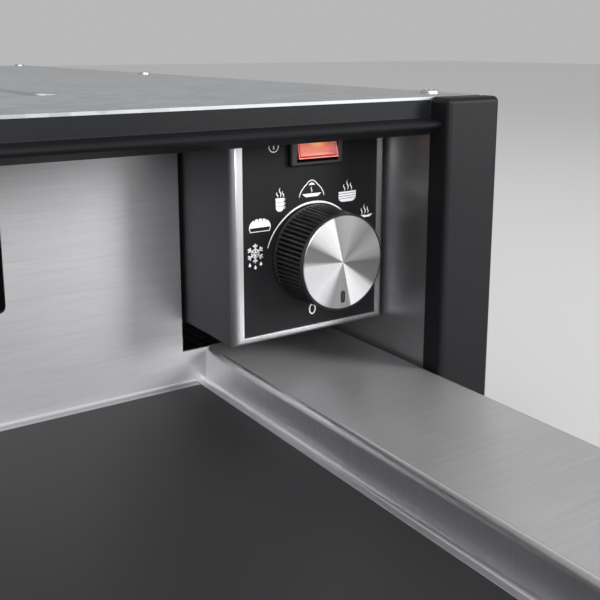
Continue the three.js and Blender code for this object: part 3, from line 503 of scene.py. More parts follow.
def painted_finish(
    name, colour, roughness, groups, peel=900.0, depth=0.01, metallic=0.0, coat=0.0, gloss=0.5
):
    """A smooth coat or moulding with a fine peel and faint smudges. The depth is in millimetres."""
    material, tree, shader, coordinates = new_finish(
        name, colour, roughness, metallic=metallic, specular=gloss
    )
    shader.inputs["Coat Weight"].default_value = coat
    shader.inputs["Coat Roughness"].default_value = 0.12
    texture = place_group(tree, groups["texture"], coordinates, {"Peel Scale": peel, "Smudge Scale": 16.0})
    dark, light = scaled(colour, 0.93), scaled(colour, 1.1)
    tint(tree, texture.outputs["Smudges"], dark, light, shader.inputs["Base Color"])
    vary(tree, texture.outputs["Smudges"], roughness - 0.04, roughness + 0.06, shader.inputs["Roughness"])
    relief(tree, shader, texture.outputs["Peel"], depth * MM)
    return material


def galvanised_finish(name, colour, groups):
    """Zinc coated sheet with a faint spangle."""
    material, tree, shader, coordinates = new_finish(name, colour, 0.45, metallic=0.9)
    spangle = place_group(tree, groups["spangle"], coordinates, {"Crystal Scale": 165.0})
    touch = place_group(tree, groups["texture"], coordinates, {"Peel Scale": 500.0, "Smudge Scale": 8.0})
    dark, light = scaled(colour, 0.92), scaled(colour, 1.07)
    tint(tree, spangle.outputs["Crystals"], dark, light, shader.inputs["Base Color"])
    vary(tree, spangle.outputs["Crystals"], 0.4, 0.5, shader.inputs["Roughness"])
    relief(tree, shader, touch.outputs["Peel"], 0.012 * MM)
    return material


# Painted sheen of the turned disc round its middle, bright and dark sectors painted into its colour: degrees
# from +X towards +Z, and how bright.
PAINTED_SHEEN = [
    (-180, 1.0), (-138, 1.0), (-124, 0.72), (-110, 0.26), (-79, 0.24), (-76, 0.92), (-60, 0.95),
    (-42, 0.8), (-33, 0.19), (-4, 0.17), (4, 0.36), (20, 0.44), (34, 0.34), (44, 0.24), (72, 0.3),
    (103, 0.25), (106, 0.9), (130, 0.92), (143, 0.75), (153, 0.22), (172, 0.28), (180, 1.0),
]


def spun_finish(name, colour, centre):
    """Turned metal: fine concentric lines round the knob's axis, and a painted sheen that runs out in bright and
    dark sectors.
    """
    material, tree, shader, coordinates = new_finish(name, colour, 0.26, metallic=1.0)
    shader.inputs["Anisotropic"].default_value = 0.55
    link = tree.links.new
    centred = add_node(tree, "ShaderNodeMapping")
    centred.inputs["Location"].default_value = -centre
    link(coordinates, centred.inputs["Vector"])
    outwards = add_node(tree, "ShaderNodeVectorMath", {1: (1, 0, 1)}, operation="MULTIPLY")
    link(centred.outputs[0], outwards.inputs[0])
    radius = add_node(tree, "ShaderNodeVectorMath", operation="LENGTH")
    link(outwards.outputs[0], radius.inputs[0])
    split = add_node(tree, "ShaderNodeSeparateXYZ")
    link(outwards.outputs[0], split.inputs[0])
    turn = add_node(tree, "ShaderNodeMath", operation="ARCTAN2")
    link(split.outputs["Z"], turn.inputs[0])
    link(split.outputs["X"], turn.inputs[1])
    share = add_node(tree, "ShaderNodeMapRange", {"From Min": -math.pi, "From Max": math.pi})
    link(turn.outputs[0], share.inputs["Value"])
    painted_sheen = add_node(tree, "ShaderNodeFloatCurve")
    curve = painted_sheen.mapping.curves[0]
    while len(curve.points) < len(PAINTED_SHEEN):
        curve.points.new(0.5, 0.5)
    for point, (angle, value) in zip(curve.points, PAINTED_SHEEN):
        point.location = ((angle + 180) / 360, value)
        point.handle_type = "VECTOR"
    painted_sheen.mapping.update()
    link(share.outputs[0], painted_sheen.inputs["Value"])
    rings = add_node(tree, "ShaderNodeTexNoise", {"Scale": 7500.0, "Detail": 2.0}, noise_dimensions="1D")
    link(radius.outputs["Value"], rings.inputs["W"])
    rays = add_node(tree, "ShaderNodeTexNoise", {"Scale": 60.0, "Detail": 3.0}, noise_dimensions="1D")
    link(share.outputs[0], rays.inputs["W"])
    lines = add_node(tree, "ShaderNodeMix", {"Factor": 0.16}, data_type="FLOAT")
    link(rings.outputs["Fac"], lines.inputs[2])
    link(rays.outputs["Fac"], lines.inputs[3])
    fine = add_node(
        tree, "ShaderNodeMapRange", {"From Min": 0.3, "From Max": 0.7, "To Min": 0.88, "To Max": 1.1}
    )
    link(lines.outputs[0], fine.inputs["Value"])
    total = add_node(tree, "ShaderNodeMath", operation="MULTIPLY", use_clamp=True)
    link(painted_sheen.outputs[0], total.inputs[0])
    link(fine.outputs[0], total.inputs[1])
    # Painted highlight and reflection: the sectors set the colour between near black and bright.
    tint(tree, total.outputs[0], (0.02, 0.02, 0.02), colour, shader.inputs["Base Color"])
    vary(tree, rings.outputs["Fac"], 0.27, 0.37, shader.inputs["Roughness"])
    relief(tree, shader, rings.outputs["Fac"], 0.003 * MM)
    link(outwards.outputs[0], shader.inputs["Tangent"])
    return material


def ribbed_finish(name, groove, crest_highlight, groups):
    """Moulded plastic whose rib crests are painted lighter than the grooves: a painted highlight."""
    material = painted_finish(name, groove, 0.34, groups, peel=2400, depth=0.006)
    tree = material.node_tree
    shader = tree.nodes["Principled BSDF"]
    centred = add_node(tree, "ShaderNodeMapping")
    centred.inputs["Location"].default_value = -KNOB_AXIS - Y * KNOB_HIGH.y
    tree.links.new(tree.nodes["Texture Coordinate"].outputs["Object"], centred.inputs["Vector"])
    split = add_node(tree, "ShaderNodeSeparateXYZ")
    tree.links.new(centred.outputs[0], split.inputs[0])
    across = add_node(tree, "ShaderNodeVectorMath", {1: (1, 0, 1)}, operation="MULTIPLY")
    tree.links.new(centred.outputs[0], across.inputs[0])
    radius = add_node(tree, "ShaderNodeVectorMath", operation="LENGTH")
    tree.links.new(across.outputs[0], radius.inputs[0])
    taper = add_node(
        tree, "ShaderNodeMath", {1: -GRIP_TAPER / (KNOB_HIGH.y - KNOB_LOW.y)}, operation="MULTIPLY_ADD"
    )
    tree.links.new(split.outputs["Y"], taper.inputs[0])
    tree.links.new(radius.outputs["Value"], taper.inputs[2])
    mask = add_node(
        tree, "ShaderNodeMapRange", {"From Min": GRIP_RADIUS - 0.3 * MM, "From Max": GRIP_RADIUS - 0.02 * MM}
    )
    tree.links.new(taper.outputs[0], mask.inputs["Value"])
    # Painted highlight on the rib crests.
    tint(tree, mask.outputs[0], groove, crest_highlight, shader.inputs["Base Color"])
    return material


def lens_finish(name, colour, groups):
    """Clear coloured plastic, lit a little from behind."""
    material = painted_finish(name, colour, 0.24, groups, peel=1200, depth=0.002, coat=0.5)
    shader = material.node_tree.nodes["Principled BSDF"]
    shader.inputs["Emission Color"].default_value = (*colour, 1)
    shader.inputs["Emission Strength"].default_value = 0.12
    return material


def diffuser_finish(name, low, top, side, hot, centre, groups):
    """The dotted pane before the lamp, with the lamp's glow painted into its colour and emission: pale below,
    orange above, red at the side, hottest by the lamp.
    """
    material, tree, shader, coordinates = new_finish(name, low, 0.26, specular=0.6)
    link = tree.links.new
    shader.inputs["Coat Weight"].default_value = 0.5
    shader.inputs["Coat Roughness"].default_value = 0.08
    centred = add_node(tree, "ShaderNodeMapping")
    centred.inputs["Location"].default_value = -centre
    link(coordinates, centred.inputs["Vector"])
    split = add_node(tree, "ShaderNodeSeparateXYZ")
    link(centred.outputs[0], split.inputs[0])
    shape = add_node(tree, "ShaderNodeVectorMath", {1: (200, 0, 330)}, operation="MULTIPLY")
    link(centred.outputs[0], shape.inputs[0])
    length = add_node(tree, "ShaderNodeVectorMath", operation="LENGTH")
    link(shape.outputs[0], length.inputs[0])
    colour = None
    painted_glow = (
        (split.outputs["Z"], -5.0 * MM, -2.2 * MM, top),
        (split.outputs["X"], 1.5 * MM, 7.5 * MM, side),
        (length.outputs["Value"], 1.0, 0.1, hot),
    )
    for value, start, end, glow in painted_glow:
        mask = add_node(
            tree, "ShaderNodeMapRange", {"From Min": start, "From Max": end}, interpolation_type="SMOOTHSTEP"
        )
        link(value, mask.inputs["Value"])
        mix = add_node(tree, "ShaderNodeMix", data_type="RGBA")
        mix.inputs[6].default_value = (*low, 1)
        mix.inputs[7].default_value = (*glow, 1)
        link(mask.outputs[0], mix.inputs[0])
        if colour:
            link(colour, mix.inputs[6])
        colour = mix.outputs[2]
    pattern = add_node(tree, "ShaderNodeTexVoronoi", {"Scale": 1450.0, "Randomness": 0.1})
    link(coordinates, pattern.inputs["Vector"])
    dotted = add_node(
        tree, "ShaderNodeMapRange", {"From Min": 0.15, "From Max": 0.6, "To Min": 1.12, "To Max": 0.7}
    )
    link(pattern.outputs["Distance"], dotted.inputs["Value"])
    graded = add_node(tree, "ShaderNodeVectorMath", operation="SCALE")
    link(colour, graded.inputs[0])
    link(dotted.outputs[0], graded.inputs["Scale"])
    link(graded.outputs[0], shader.inputs["Base Color"])
    link(graded.outputs[0], shader.inputs["Emission Color"])
    shader.inputs["Emission Strength"].default_value = 0.5
    texture = place_group(tree, groups["texture"], coordinates, {"Peel Scale": 1200.0, "Smudge Scale": 40.0})
    vary(tree, texture.outputs["Smudges"], 0.2, 0.32, shader.inputs["Roughness"])
    return material


def matte_finish(name, colour, roughness, scale, depth, groups):
    """Rubber or fabric-backed foam: a fine even nap, nearly without gloss."""
    material, tree, shader, coordinates = new_finish(name, colour, roughness, specular=0.45)
    texture = place_group(tree, groups["texture"], coordinates, {"Peel Scale": scale, "Smudge Scale": 6.0})
    blend = add_node(tree, "ShaderNodeMix", {"Factor": 0.35}, data_type="FLOAT")
    tree.links.new(texture.outputs["Peel"], blend.inputs[2])
    tree.links.new(texture.outputs["Smudges"], blend.inputs[3])
    tint(tree, blend.outputs[0], scaled(colour, 0.8), scaled(colour, 1.2), shader.inputs["Base Color"])
    vary(tree, texture.outputs["Smudges"], roughness - 0.06, roughness + 0.05, shader.inputs["Roughness"])
    relief(tree, shader, texture.outputs["Peel"], depth * MM)
    return material


def linear(red, green, blue):
    """A colour as linear light, from its usual values of 0 to 255."""
    return tuple(
        (c / 255 / 12.92) if c <= 10.3 else ((c / 255 + 0.055) / 1.055) ** 2.4 for c in (red, green, blue)
    )


# ---------------------------------------------------------------- properties


class SheetSizes(bpy.types.PropertyGroup):
    bend: FloatProperty(
        name="Bend radius", description="Inside the bends of the drawer's sheets", default=1.5 * MM,
        min=0.2 * MM, max=4 * MM, unit="LENGTH",
    )
    sheet: FloatProperty(
        name="Sheet", description="Thickness of the drawer's sheets", default=1 * MM,
        min=0.6 * MM, max=2 * MM, unit="LENGTH",
    )
    broken_edge: FloatProperty(
        name="Broken edge", description="Width of the bevel on cut edges of sheet", default=0.18 * MM,
        min=0.02 * MM, max=0.4 * MM, unit="LENGTH",
    )
    shelf_foot: FloatProperty(
        name="Shelf foot", description="Flange at the foot of a shelf's rim", default=3.6 * MM,
        min=1 * MM, max=8 * MM, unit="LENGTH",
    )
    shelf_edge: FloatProperty(
        name="Shelf edge", description="Downturned outer edge of a shelf", default=4 * MM,
        min=2 * MM, max=8 * MM, unit="LENGTH",
    )


class ControlSizes(bpy.types.PropertyGroup):
    box_radius: FloatProperty(
        name="Box radius", description="Round front edges of the control box", default=2.4 * MM,
        min=0.5 * MM, max=4 * MM, unit="LENGTH",
    )
    rim_side: FloatProperty(
        name="Rim, sides", description="Bright rim left and right of the fascia", default=3.8 * MM,
        min=3 * MM, max=8 * MM, unit="LENGTH",
    )
    rim_end: FloatProperty(
        name="Rim, ends", description="Bright rim over and under the fascia", default=2.9 * MM,
        min=2.7 * MM, max=8 * MM, unit="LENGTH",
    )
    rim_depth: FloatProperty(
        name="Rim, depth", description="How far the bright rim reaches back along the box", default=3 * MM,
        min=3 * MM, max=10 * MM, unit="LENGTH",
    )
    ribs: IntProperty(name="Knob ribs", description="Ribs round the knob", default=66, min=24, max=90)
    rib_depth: FloatProperty(
        name="Rib depth", description="Depth of the grooves between the ribs", default=0.7 * MM,
        min=0.1 * MM, max=1 * MM, unit="LENGTH",
    )
    rocker_tilt: FloatProperty(
        name="Rocker tilt", description="Tilt of the rocker at rest", default=-ROCKER_FLANK, subtype="ANGLE"
    )
    ink_height: FloatProperty(
        name="Ink height", description="How far the printed symbols stand off the fascia", default=0.05 * MM,
        min=0.01 * MM, max=0.2 * MM, unit="LENGTH",
    )


class FinishColours(bpy.types.PropertyGroup):
    steel: FloatVectorProperty(
        name="Brushed steel", description="Inside of the drawer", subtype="COLOR", size=3,
        default=linear(214, 214, 216), min=0, max=1,
    )
    galvanised: FloatVectorProperty(
        name="Galvanised steel", description="Housing", subtype="COLOR", size=3,
        default=linear(176, 179, 181), min=0, max=1,
    )
    black_paint: FloatVectorProperty(
        name="Black paint", description="Side trims and cross rail", subtype="COLOR", size=3,
        default=linear(20, 21, 23), min=0, max=1,
    )
    front: FloatVectorProperty(
        name="Front", description="Drawer front", subtype="COLOR", size=3,
        default=linear(56, 57, 61), min=0, max=1,
    )
    mat: FloatVectorProperty(
        name="Mat", description="Anti slip mat", subtype="COLOR", size=3,
        default=linear(44, 44, 46), min=0, max=1,
    )
    lens: FloatVectorProperty(
        name="Rocker lens", description="Lit lens of the rocker", subtype="COLOR", size=3,
        default=linear(205, 54, 40), min=0, max=1,
    )
    ink: FloatVectorProperty(
        name="Ink", description="Printed symbols", subtype="COLOR", size=3,
        default=linear(238, 238, 240), min=0, max=1,
    )


class StudioSettings(bpy.types.PropertyGroup):
    camera_place: FloatVectorProperty(
        name="Camera", description="Place of the camera", subtype="TRANSLATION", size=3, unit="LENGTH",
        default=(0.0523, -0.4836, 0.1521),
    )
    camera_yaw: FloatProperty(
        name="Yaw", description="How far the camera is turned to the right", default=math.radians(33.77),
        subtype="ANGLE",
    )
    camera_pitch: FloatProperty(
        name="Pitch", description="How far the camera looks down", default=math.radians(11.83),
        subtype="ANGLE",
    )
    focal_length: FloatProperty(
        name="Focal length", description="In millimetres", default=52.49, min=10, max=300
    )
    shift: FloatProperty(name="Vertical shift", description="Of the lens", default=-0.12, min=-0.5, max=0.5)
    daylight: FloatProperty(
        name="Daylight", description="Strength of the room's soft light", default=0.7, min=0, max=2
    )
    backdrop: FloatProperty(
        name="Backdrop", description="How bright the room looks, also in reflections", default=0.48,
        min=0, max=2,
    )
    key: FloatProperty(
        name="Key light", description="Power of the light in front", default=10.8, min=0, max=200
    )
    side: FloatProperty(
        name="Side light", description="Power of the light at the right", default=5.2, min=0, max=200
    )
    top: FloatProperty(
        name="Top light", description="Power of the light overhead", default=1.2, min=0, max=200
    )


class WarmingDrawerSettings(bpy.types.PropertyGroup):
    sheets: PointerProperty(type=SheetSizes)
    control: PointerProperty(type=ControlSizes)
    colours: PointerProperty(type=FinishColours)
    studio: PointerProperty(type=StudioSettings)


def settings():
    return bpy.context.scene.warming_drawer


# ---------------------------------------------------------------- places taken from the frame

BOX_LOW, BOX_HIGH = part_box("control_box")
KNOB_LOW, KNOB_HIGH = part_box("knob_body")
KNOB_AXIS = Vector(((KNOB_LOW.x + KNOB_HIGH.x) / 2, 0, (KNOB_LOW.z + KNOB_HIGH.z) / 2))
BEZEL_LOW, BEZEL_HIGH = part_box("rocker_housing")
FASCIA_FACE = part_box("fascia_plate")[0].y
GRIP_RADIUS = 17.3 * MM  # at the knob's base
GRIP_TAPER = 0.7 * MM  # how much less the radius is at its front
CAP_RADIUS = 16.05 * MM
ROCKER_PIVOT = Vector((KNOB_AXIS.x, FASCIA_FACE + 1.5 * MM, (BEZEL_LOW.z + BEZEL_HIGH.z) / 2))


def finish(name):
    return bpy.data.materials[name]


def give(piece, finish_name, body, nodes=()):
    """Gives a new piece its finish, its body and the nodes that it stands for."""
    piece.data.materials.clear()
    piece.data.materials.append(finish(finish_name))
    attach(piece, body)
    if nodes:
        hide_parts(*nodes)


# ---------------------------------------------------------------- operators

CARRIED = {
    "brushed_steel_liner": ["left_liner", "right_liner"],
    "brushed_steel_shelf": ["drawer_floor"],
    "brushed_steel_wall": ["front_back_plate"],
    "spangled_galvanised_steel": [
        "base_pan", "left_side_panel", "right_side_panel", "top_cover", "back_panel", "control_box_cover",
        "wiring_duct", "heater_baffle", "fan_impeller", "left_side_bracket", "right_side_bracket",
        "left_front_bracket", "right_front_bracket",
    ],
    "fascia_satin_black": ["fascia_plate"],
    "moulded_black_plastic": ["thermal_cutout", "cable_gland", "latch_body", "latch_plunger"],
    "buffer_rubber": ["left_lower_buffer", "right_lower_buffer", "left_upper_buffer", "right_upper_buffer"],
    "zinc_plated_steel": [
        "thermostat_body", "thermostat_shaft", "fan_motor", "fan_shaft", "left_heater_clip",
        "right_heater_clip", "left_fixed_runner", "right_fixed_runner", "left_middle_runner",
        "right_middle_runner", "left_drawer_runner", "right_drawer_runner", "latch_catch",
    ],
    "sheathed_heater_steel": ["heating_element"],
    "bulb_copper": ["thermostat_bulb", "capillary_tube"],
    "terminal_ceramic": ["terminal_block"],
    "neon_lamp_glass": ["indicator_lamp"],
}


# Finishes with a set colour: the colour, how rough it is, and what differs from a plain satin coat.
PAINTED = {
    "fascia_satin_black": ((26, 26, 28), 0.46, {"peel": 1800, "depth": 0.006, "gloss": 0.15}),
    "moulded_black_plastic": ((24, 24, 26), 0.36, {"peel": 2400, "depth": 0.006}),
    "zinc_plated_steel": ((190, 194, 199), 0.36, {"peel": 700, "depth": 0.006, "metallic": 0.95}),
    "sheathed_heater_steel": ((128, 118, 108), 0.48, {"peel": 400, "depth": 0.02, "metallic": 0.9}),
    "bulb_copper": ((186, 112, 74), 0.36, {"peel": 500, "metallic": 0.95}),
    "terminal_ceramic": ((232, 229, 220), 0.5, {"peel": 800, "depth": 0.02}),
    "neon_lamp_glass": ((255, 214, 160), 0.1, {"peel": 300, "depth": 0.004, "coat": 0.6}),
}
# Painted glow of the lamp on the rocker's pane: below, above, at the side, and by the lamp.
PAINTED_AMBER_GLOW = ((216, 122, 98), (226, 78, 18), (190, 42, 24), (255, 184, 44))


class WARMER_OT_finishes(bpy.types.Operator):
    """Makes every finish, and gives the carried-over pieces theirs"""

    bl_idname = "warmer.finishes"
    bl_label = "Finishes"

    def execute(self, context):
        colours = settings().colours
        groups = {"grain": grain_group(), "texture": speckle_group(), "spangle": spangle_group()}
        # The control box's sides take a dark copy of the steel: painted shade and dark reflection.
        steel, painted_shade_steel = tuple(colours.steel), linear(74, 74, 77)
        wall_lines, shelf_lines = (90, 2000, 2000), (90, 2000, 90)
        liner_lines, box_lines = (2000, 90, 2000), (2400, 2400, 28)
        wall_tangent, shelf_tangent = (Y + Z).normalized(), (Y + 2 * Z).normalized()
        brushed_finish("brushed_steel_wall", steel, wall_lines, 0.45, wall_tangent, groups)
        brushed_finish("brushed_steel_shelf", steel, shelf_lines, 0.39, shelf_tangent, groups, 0.8)
        # The liner is the same steel darkened to 0.55: painted shade inside the housing.
        brushed_finish("brushed_steel_liner", scaled(steel, 0.55), liner_lines, 0.42, Y, groups, 0.5)
        brushed_finish("box_dark_steel", painted_shade_steel, box_lines, 0.4, Y, groups, 0.5, 0.4, 0.002)
        rim_steel = linear(214, 214, 216)
        rim = brushed_finish("box_rim_steel", rim_steel, box_lines, 0.32, X, groups, 0.3, 0.3, 0.002)
        # The rim's round edges fade into the dark steel: a painted fall-off from highlight to shade.
        fade_to_painted_shade(rim, BOX_LOW.y + 0.9 * MM, BOX_LOW.y + 2.6 * MM, painted_shade_steel)
        galvanised_finish("spangled_galvanised_steel", tuple(colours.galvanised), groups)
        chosen = {
            "trim_black_paint": (colours.black_paint, 0.44, {"peel": 1300, "depth": 0.03, "gloss": 0.2}),
            "front_anthracite_paint": (colours.front, 0.4, {"metallic": 0.3, "coat": 0.2}),
            "printed_ink": (colours.ink, 0.5, {"peel": 4000, "depth": 0.002}),
        }
        for name, (colour, roughness, rest) in chosen.items():
            painted_finish(name, tuple(colour), roughness, groups, **rest)
        for name, (colour, roughness, rest) in PAINTED.items():
            painted_finish(name, linear(*colour), roughness, groups, **rest)
        # Grooves, and rib crests painted lighter as a highlight.
        ribbed_finish("ribbed_black_plastic", linear(12, 12, 13), linear(52, 52, 54), groups)
        spun_finish("turned_disc_metal", linear(240, 240, 242), KNOB_AXIS)
        lens_finish("lit_amber_lens", tuple(colours.lens), groups)
        lamp = ROCKER_PIVOT + Z * 1.0 * MM
        pale, orange, red, yellow = PAINTED_AMBER_GLOW
        diffuser_finish(
            "amber_diffuser", linear(*pale), linear(*orange), linear(*red), linear(*yellow), lamp, groups
        )
        matte_finish("slip_mat_foam", tuple(colours.mat), 0.52, 1600, 0.03, groups)
        matte_finish("buffer_rubber", linear(30, 30, 31), 0.72, 900, 0.03, groups)
        for name, nodes in CARRIED.items():
            for node in nodes:
                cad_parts[node].material_slots[0].material = finish(name)
        return {"FINISHED"}


PANEL_EDGE = 0.2 * MM  # width of the broken edges on panels, runners and brackets

# Carried-over pieces that show, by body: each gets a copy with broken edges.
SOFTENED = {
    "housing": [
        "left_side_panel", "right_side_panel", "cable_gland", "left_fixed_runner", "right_fixed_runner",
        "latch_body", "thermal_cutout", "control_box_cover",
    ],
    "drawer": [
        "left_drawer_runner", "right_drawer_runner", "left_front_bracket", "right_front_bracket",
        "left_side_bracket", "right_side_bracket", "front_back_plate", "latch_catch",
        "left_lower_buffer", "right_lower_buffer", "left_upper_buffer", "right_upper_buffer",
    ],
    "left_middle_runner": ["left_middle_runner"],
    "right_middle_runner": ["right_middle_runner"],
}


class WARMER_OT_broken_edges(bpy.types.Operator):
    """Breaks the sharp edges of the panels, runners, brackets and buffers that show"""

    bl_idname = "warmer.broken_edges"
    bl_label = "Broken edges"

    def execute(self, context):
        finishes = {node: name for name, nodes in CARRIED.items() for node in nodes}
        for body, nodes in SOFTENED.items():
            for node in nodes:
                piece = copy_of(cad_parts[node], node + "_sheet")
                place_in_mesh(piece)
                outward(piece)
                soften(piece, PANEL_EDGE)
                give(piece, finishes[node], body, [node])
        return {"FINISHED"}


SCREW_IN = 10 * MM  # from the housing's sides
SCREW_LEVELS = (12 * MM, 122 * MM)  # of the screws in its back and sides
SCREW_FRONT, SCREW_BACK = 16 * MM, 14 * MM  # from the cover's front and back edges
SCREW_MIDDLE = 5 * MM  # place along Y of the cover's middle screws
BACK_SCREW_X = 20 * MM  # of the back's inner screws, left and right of the middle


class WARMER_OT_housing_screws(bpy.types.Operator):
    """Sets pan head screws on the housing's cover, back and sides"""

    bl_idname = "warmer.housing_screws"
    bl_label = "Housing screws"

    def execute(self, context):
        first = screw_head("first_screw")
        low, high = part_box("top_cover")
        outer = high.x - SCREW_IN
        along = (low.y + SCREW_FRONT, SCREW_MIDDLE, high.y - SCREW_BACK)
        ends = (along[0], along[-1])
        back_x = [side * x for side in (-1, 1) for x in (outer, BACK_SCREW_X)]
        rows = {
            "top_screws": (Z, [(side * outer, y, high.z) for side in (-1, 1) for y in along]),
            "back_screws": (Y, [(x, high.y, z) for x in back_x for z in SCREW_LEVELS]),
            "right_screws": (X, [(high.x, y, z) for y in ends for z in SCREW_LEVELS]),
            "left_screws": (-X, [(low.x, y, z) for y in ends for z in SCREW_LEVELS]),
        }
        for name, (facing, places) in rows.items():
            heads = []
            for place in places:
                head = copy_of(first, name)
                head.rotation_euler = Z.rotation_difference(facing).to_euler()
                head.location = place
                place_in_mesh(head)
                heads.append(head)
            give(joined(heads, name), "zinc_plated_steel", "housing")
        bpy.data.objects.remove(first, do_unlink=True)
        return {"FINISHED"}


def screw_head(name):
    """A pan head with a cross recess, facing up at the origin."""
    radius, height, sunk = 3.4 * MM, 1.7 * MM, 0.2 * MM
    wing, half_slot, recess = 1.9 * MM, 0.45 * MM, 1.0 * MM
    crown = ((0.4 * MM, 0.94), (0.25 * MM, 0.86), (0.15 * MM, 0.72))  # rise, and width against the last
    head = disc(name, -Z * sunk, radius, 32, Z)
    pick(head, "FACE", lambda f: True)
    extrude(Z * 0.9 * MM)
    for rise, ratio in crown:
        extrude_and_scale(Z * rise, (ratio, ratio, 1), Vector())
    object_mode()
    outward(head)
    for x, y in ((wing, half_slot), (half_slot, wing)):
        cut(head, cuboid("cutter", (-x, -y, height - recess), (x, y, height + PAST)))
    outward(head)
    smooth(head)
    return head


BEAD_X = 150 * MM  # middle of each bead, left and right of the cover's
BEAD_HALF_WIDTH = 6 * MM
BEAD_FRONT, BEAD_BACK = -180 * MM, 150 * MM
BEAD_RISE, BEAD_SUNK = 0.9 * MM, 0.4 * MM  # over and under the cover's top


class WARMER_OT_beads(bpy.types.Operator):
    """Presses two stiffening beads into the housing's cover"""

    bl_idname = "warmer.beads"
    bl_label = "Cover beads"

    def execute(self, context):
        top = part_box("top_cover")[1].z
        for side, name in ((-1, "bead_left"), (1, "bead_right")):
            low = (side * BEAD_X - BEAD_HALF_WIDTH, BEAD_FRONT, top - BEAD_SUNK)
            high = (side * BEAD_X + BEAD_HALF_WIDTH, BEAD_BACK, top + BEAD_RISE)
            bead = cuboid(name, low, high)
            pick(bead, "EDGE", lambda e: runs_along(e, Z))
            round_end = BEAD_HALF_WIDTH - 0.2 * MM
            bpy.ops.mesh.bevel(offset=round_end, segments=10, affect="EDGES", profile=0.5)
            pick(bead, "FACE", lambda f: f.normal.z > 0.99)
            bpy.ops.mesh.bevel(offset=1.2 * MM, segments=5, affect="EDGES", profile=0.5)
            object_mode()
            outward(bead)
            smooth(bead)
            give(bead, "spangled_galvanised_steel", "housing")
        return {"FINISHED"}


class WARMER_OT_shelves(bpy.types.Operator):
    """Folds the two side shelves with their rims"""

    bl_idname = "warmer.shelves"
    bl_label = "Side shelves"

    def execute(self, context):
        sizes = settings().sheets
        low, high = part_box("right_shelf")
        half = sizes.sheet / 2
        rim = low.x + sizes.shelf_foot
        path = [
            (high.x - half, high.z - sizes.shelf_edge),
            (high.x - half, high.z - half),
            (rim + half, high.z - half),
            (rim + half, low.z + half),
            (low.x, low.z + half),
        ]
        shelf = folded_sheet(
            "shelf_right", path, low.y, high.y, Y, sizes.sheet, sizes.bend, segments=10
        )
        soften(shelf, sizes.broken_edge)
        twin = mirrored_copy(shelf, "shelf_left")
        give(shelf, "brushed_steel_shelf", "drawer", ["right_shelf"])
        give(twin, "brushed_steel_shelf", "drawer", ["left_shelf"])
        return {"FINISHED"}


WALL_HEM = 9 * MM  # how far the rear wall's upper hem reaches back
NOTCH_GAP = 1.3 * MM  # from the notch to the control box
FOOT_GAP = 0.5 * MM  # from the wall's foot to the shelf
BRACKET_GAP = 0.1 * MM
RUNNER_GAP = 0.6 * MM
INLETS, INLET_PITCH, INLET_LEVEL = 9, 8 * MM, 67.75 * MM  # slots in front of the fan
INLET_WIDTH, INLET_HEIGHT = 4 * MM, 50 * MM
OUTLETS, OUTLET_PITCH, OUTLET_LEVEL = 6, 9 * MM, 84 * MM  # slots of each outlet
OUTLET_WIDTH, OUTLET_HEIGHT = 5 * MM, 36 * MM
OUTLET_X = 100 * MM  # middle of each outlet, left and right of the fan


def slot_row(middle_x, count, pitch, level):
    """The middles of a row of slots."""
    return [(middle_x + (i - (count - 1) / 2) * pitch, level) for i in range(count)]


class WARMER_OT_rear_wall(bpy.types.Operator):
    """Folds the drawer's rear wall and cuts its air slots and the notch for the control box"""

    bl_idname = "warmer.rear_wall"
    bl_label = "Rear wall"

    def execute(self, context):
        sizes = settings().sheets
        low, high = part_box("rear_wall")
        shelf_low, shelf_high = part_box("right_shelf")
        half = sizes.sheet / 2
        wall = high.y - WALL_HEM - half
        path = [
            (low.y, low.z + half),
            (wall, low.z + half),
            (wall, high.z - half),
            (high.y, high.z - half),
        ]
        sheet = folded_sheet("drawer_rear_wall", path, low.x, high.x, X, sizes.sheet, sizes.bend, segments=10)
        front, back = low.y - PAST, high.y + PAST
        notch_low = (BOX_LOW.x - NOTCH_GAP, front, shelf_high.z)
        cut(sheet, cuboid("cutter", notch_low, (high.x + PAST, back, high.z + PAST)))
        foot_x = shelf_low.x - FOOT_GAP
        foot_y = wall - half - EPS / 2
        foot_z = low.z + half + sizes.bend + sizes.sheet
        bracket_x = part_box("right_side_bracket")[1].x + BRACKET_GAP
        bracket_y = wall + 2 * sizes.sheet
        bracket_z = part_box("right_fixed_runner")[1].z + RUNNER_GAP
        for side in (-1, 1):
            for x0, x1, y1, z1 in (
                (foot_x, high.x + PAST, foot_y, foot_z),
                (bracket_x, high.x + 2 * PAST, bracket_y, bracket_z),
            ):
                left, right = sorted((side * x0, side * x1))
                cut(sheet, cuboid("cutter", (left, front, low.z - PAST), (right, y1, z1)))
        through = (wall - PAST, wall + PAST)
        inlet = slot_row(0, INLETS, INLET_PITCH, INLET_LEVEL)
        cut(sheet, upright_slots("cutter", inlet, INLET_WIDTH, INLET_HEIGHT, *through))
        outlets = []
        for side in (-1, 1):
            outlets += slot_row(side * OUTLET_X, OUTLETS, OUTLET_PITCH, OUTLET_LEVEL)
        cut(sheet, upright_slots("cutter", outlets, OUTLET_WIDTH, OUTLET_HEIGHT, *through))
        outward(sheet)
        soften(sheet, sizes.broken_edge)
        give(sheet, "brushed_steel_wall", "drawer", ["rear_wall"])
        return {"FINISHED"}


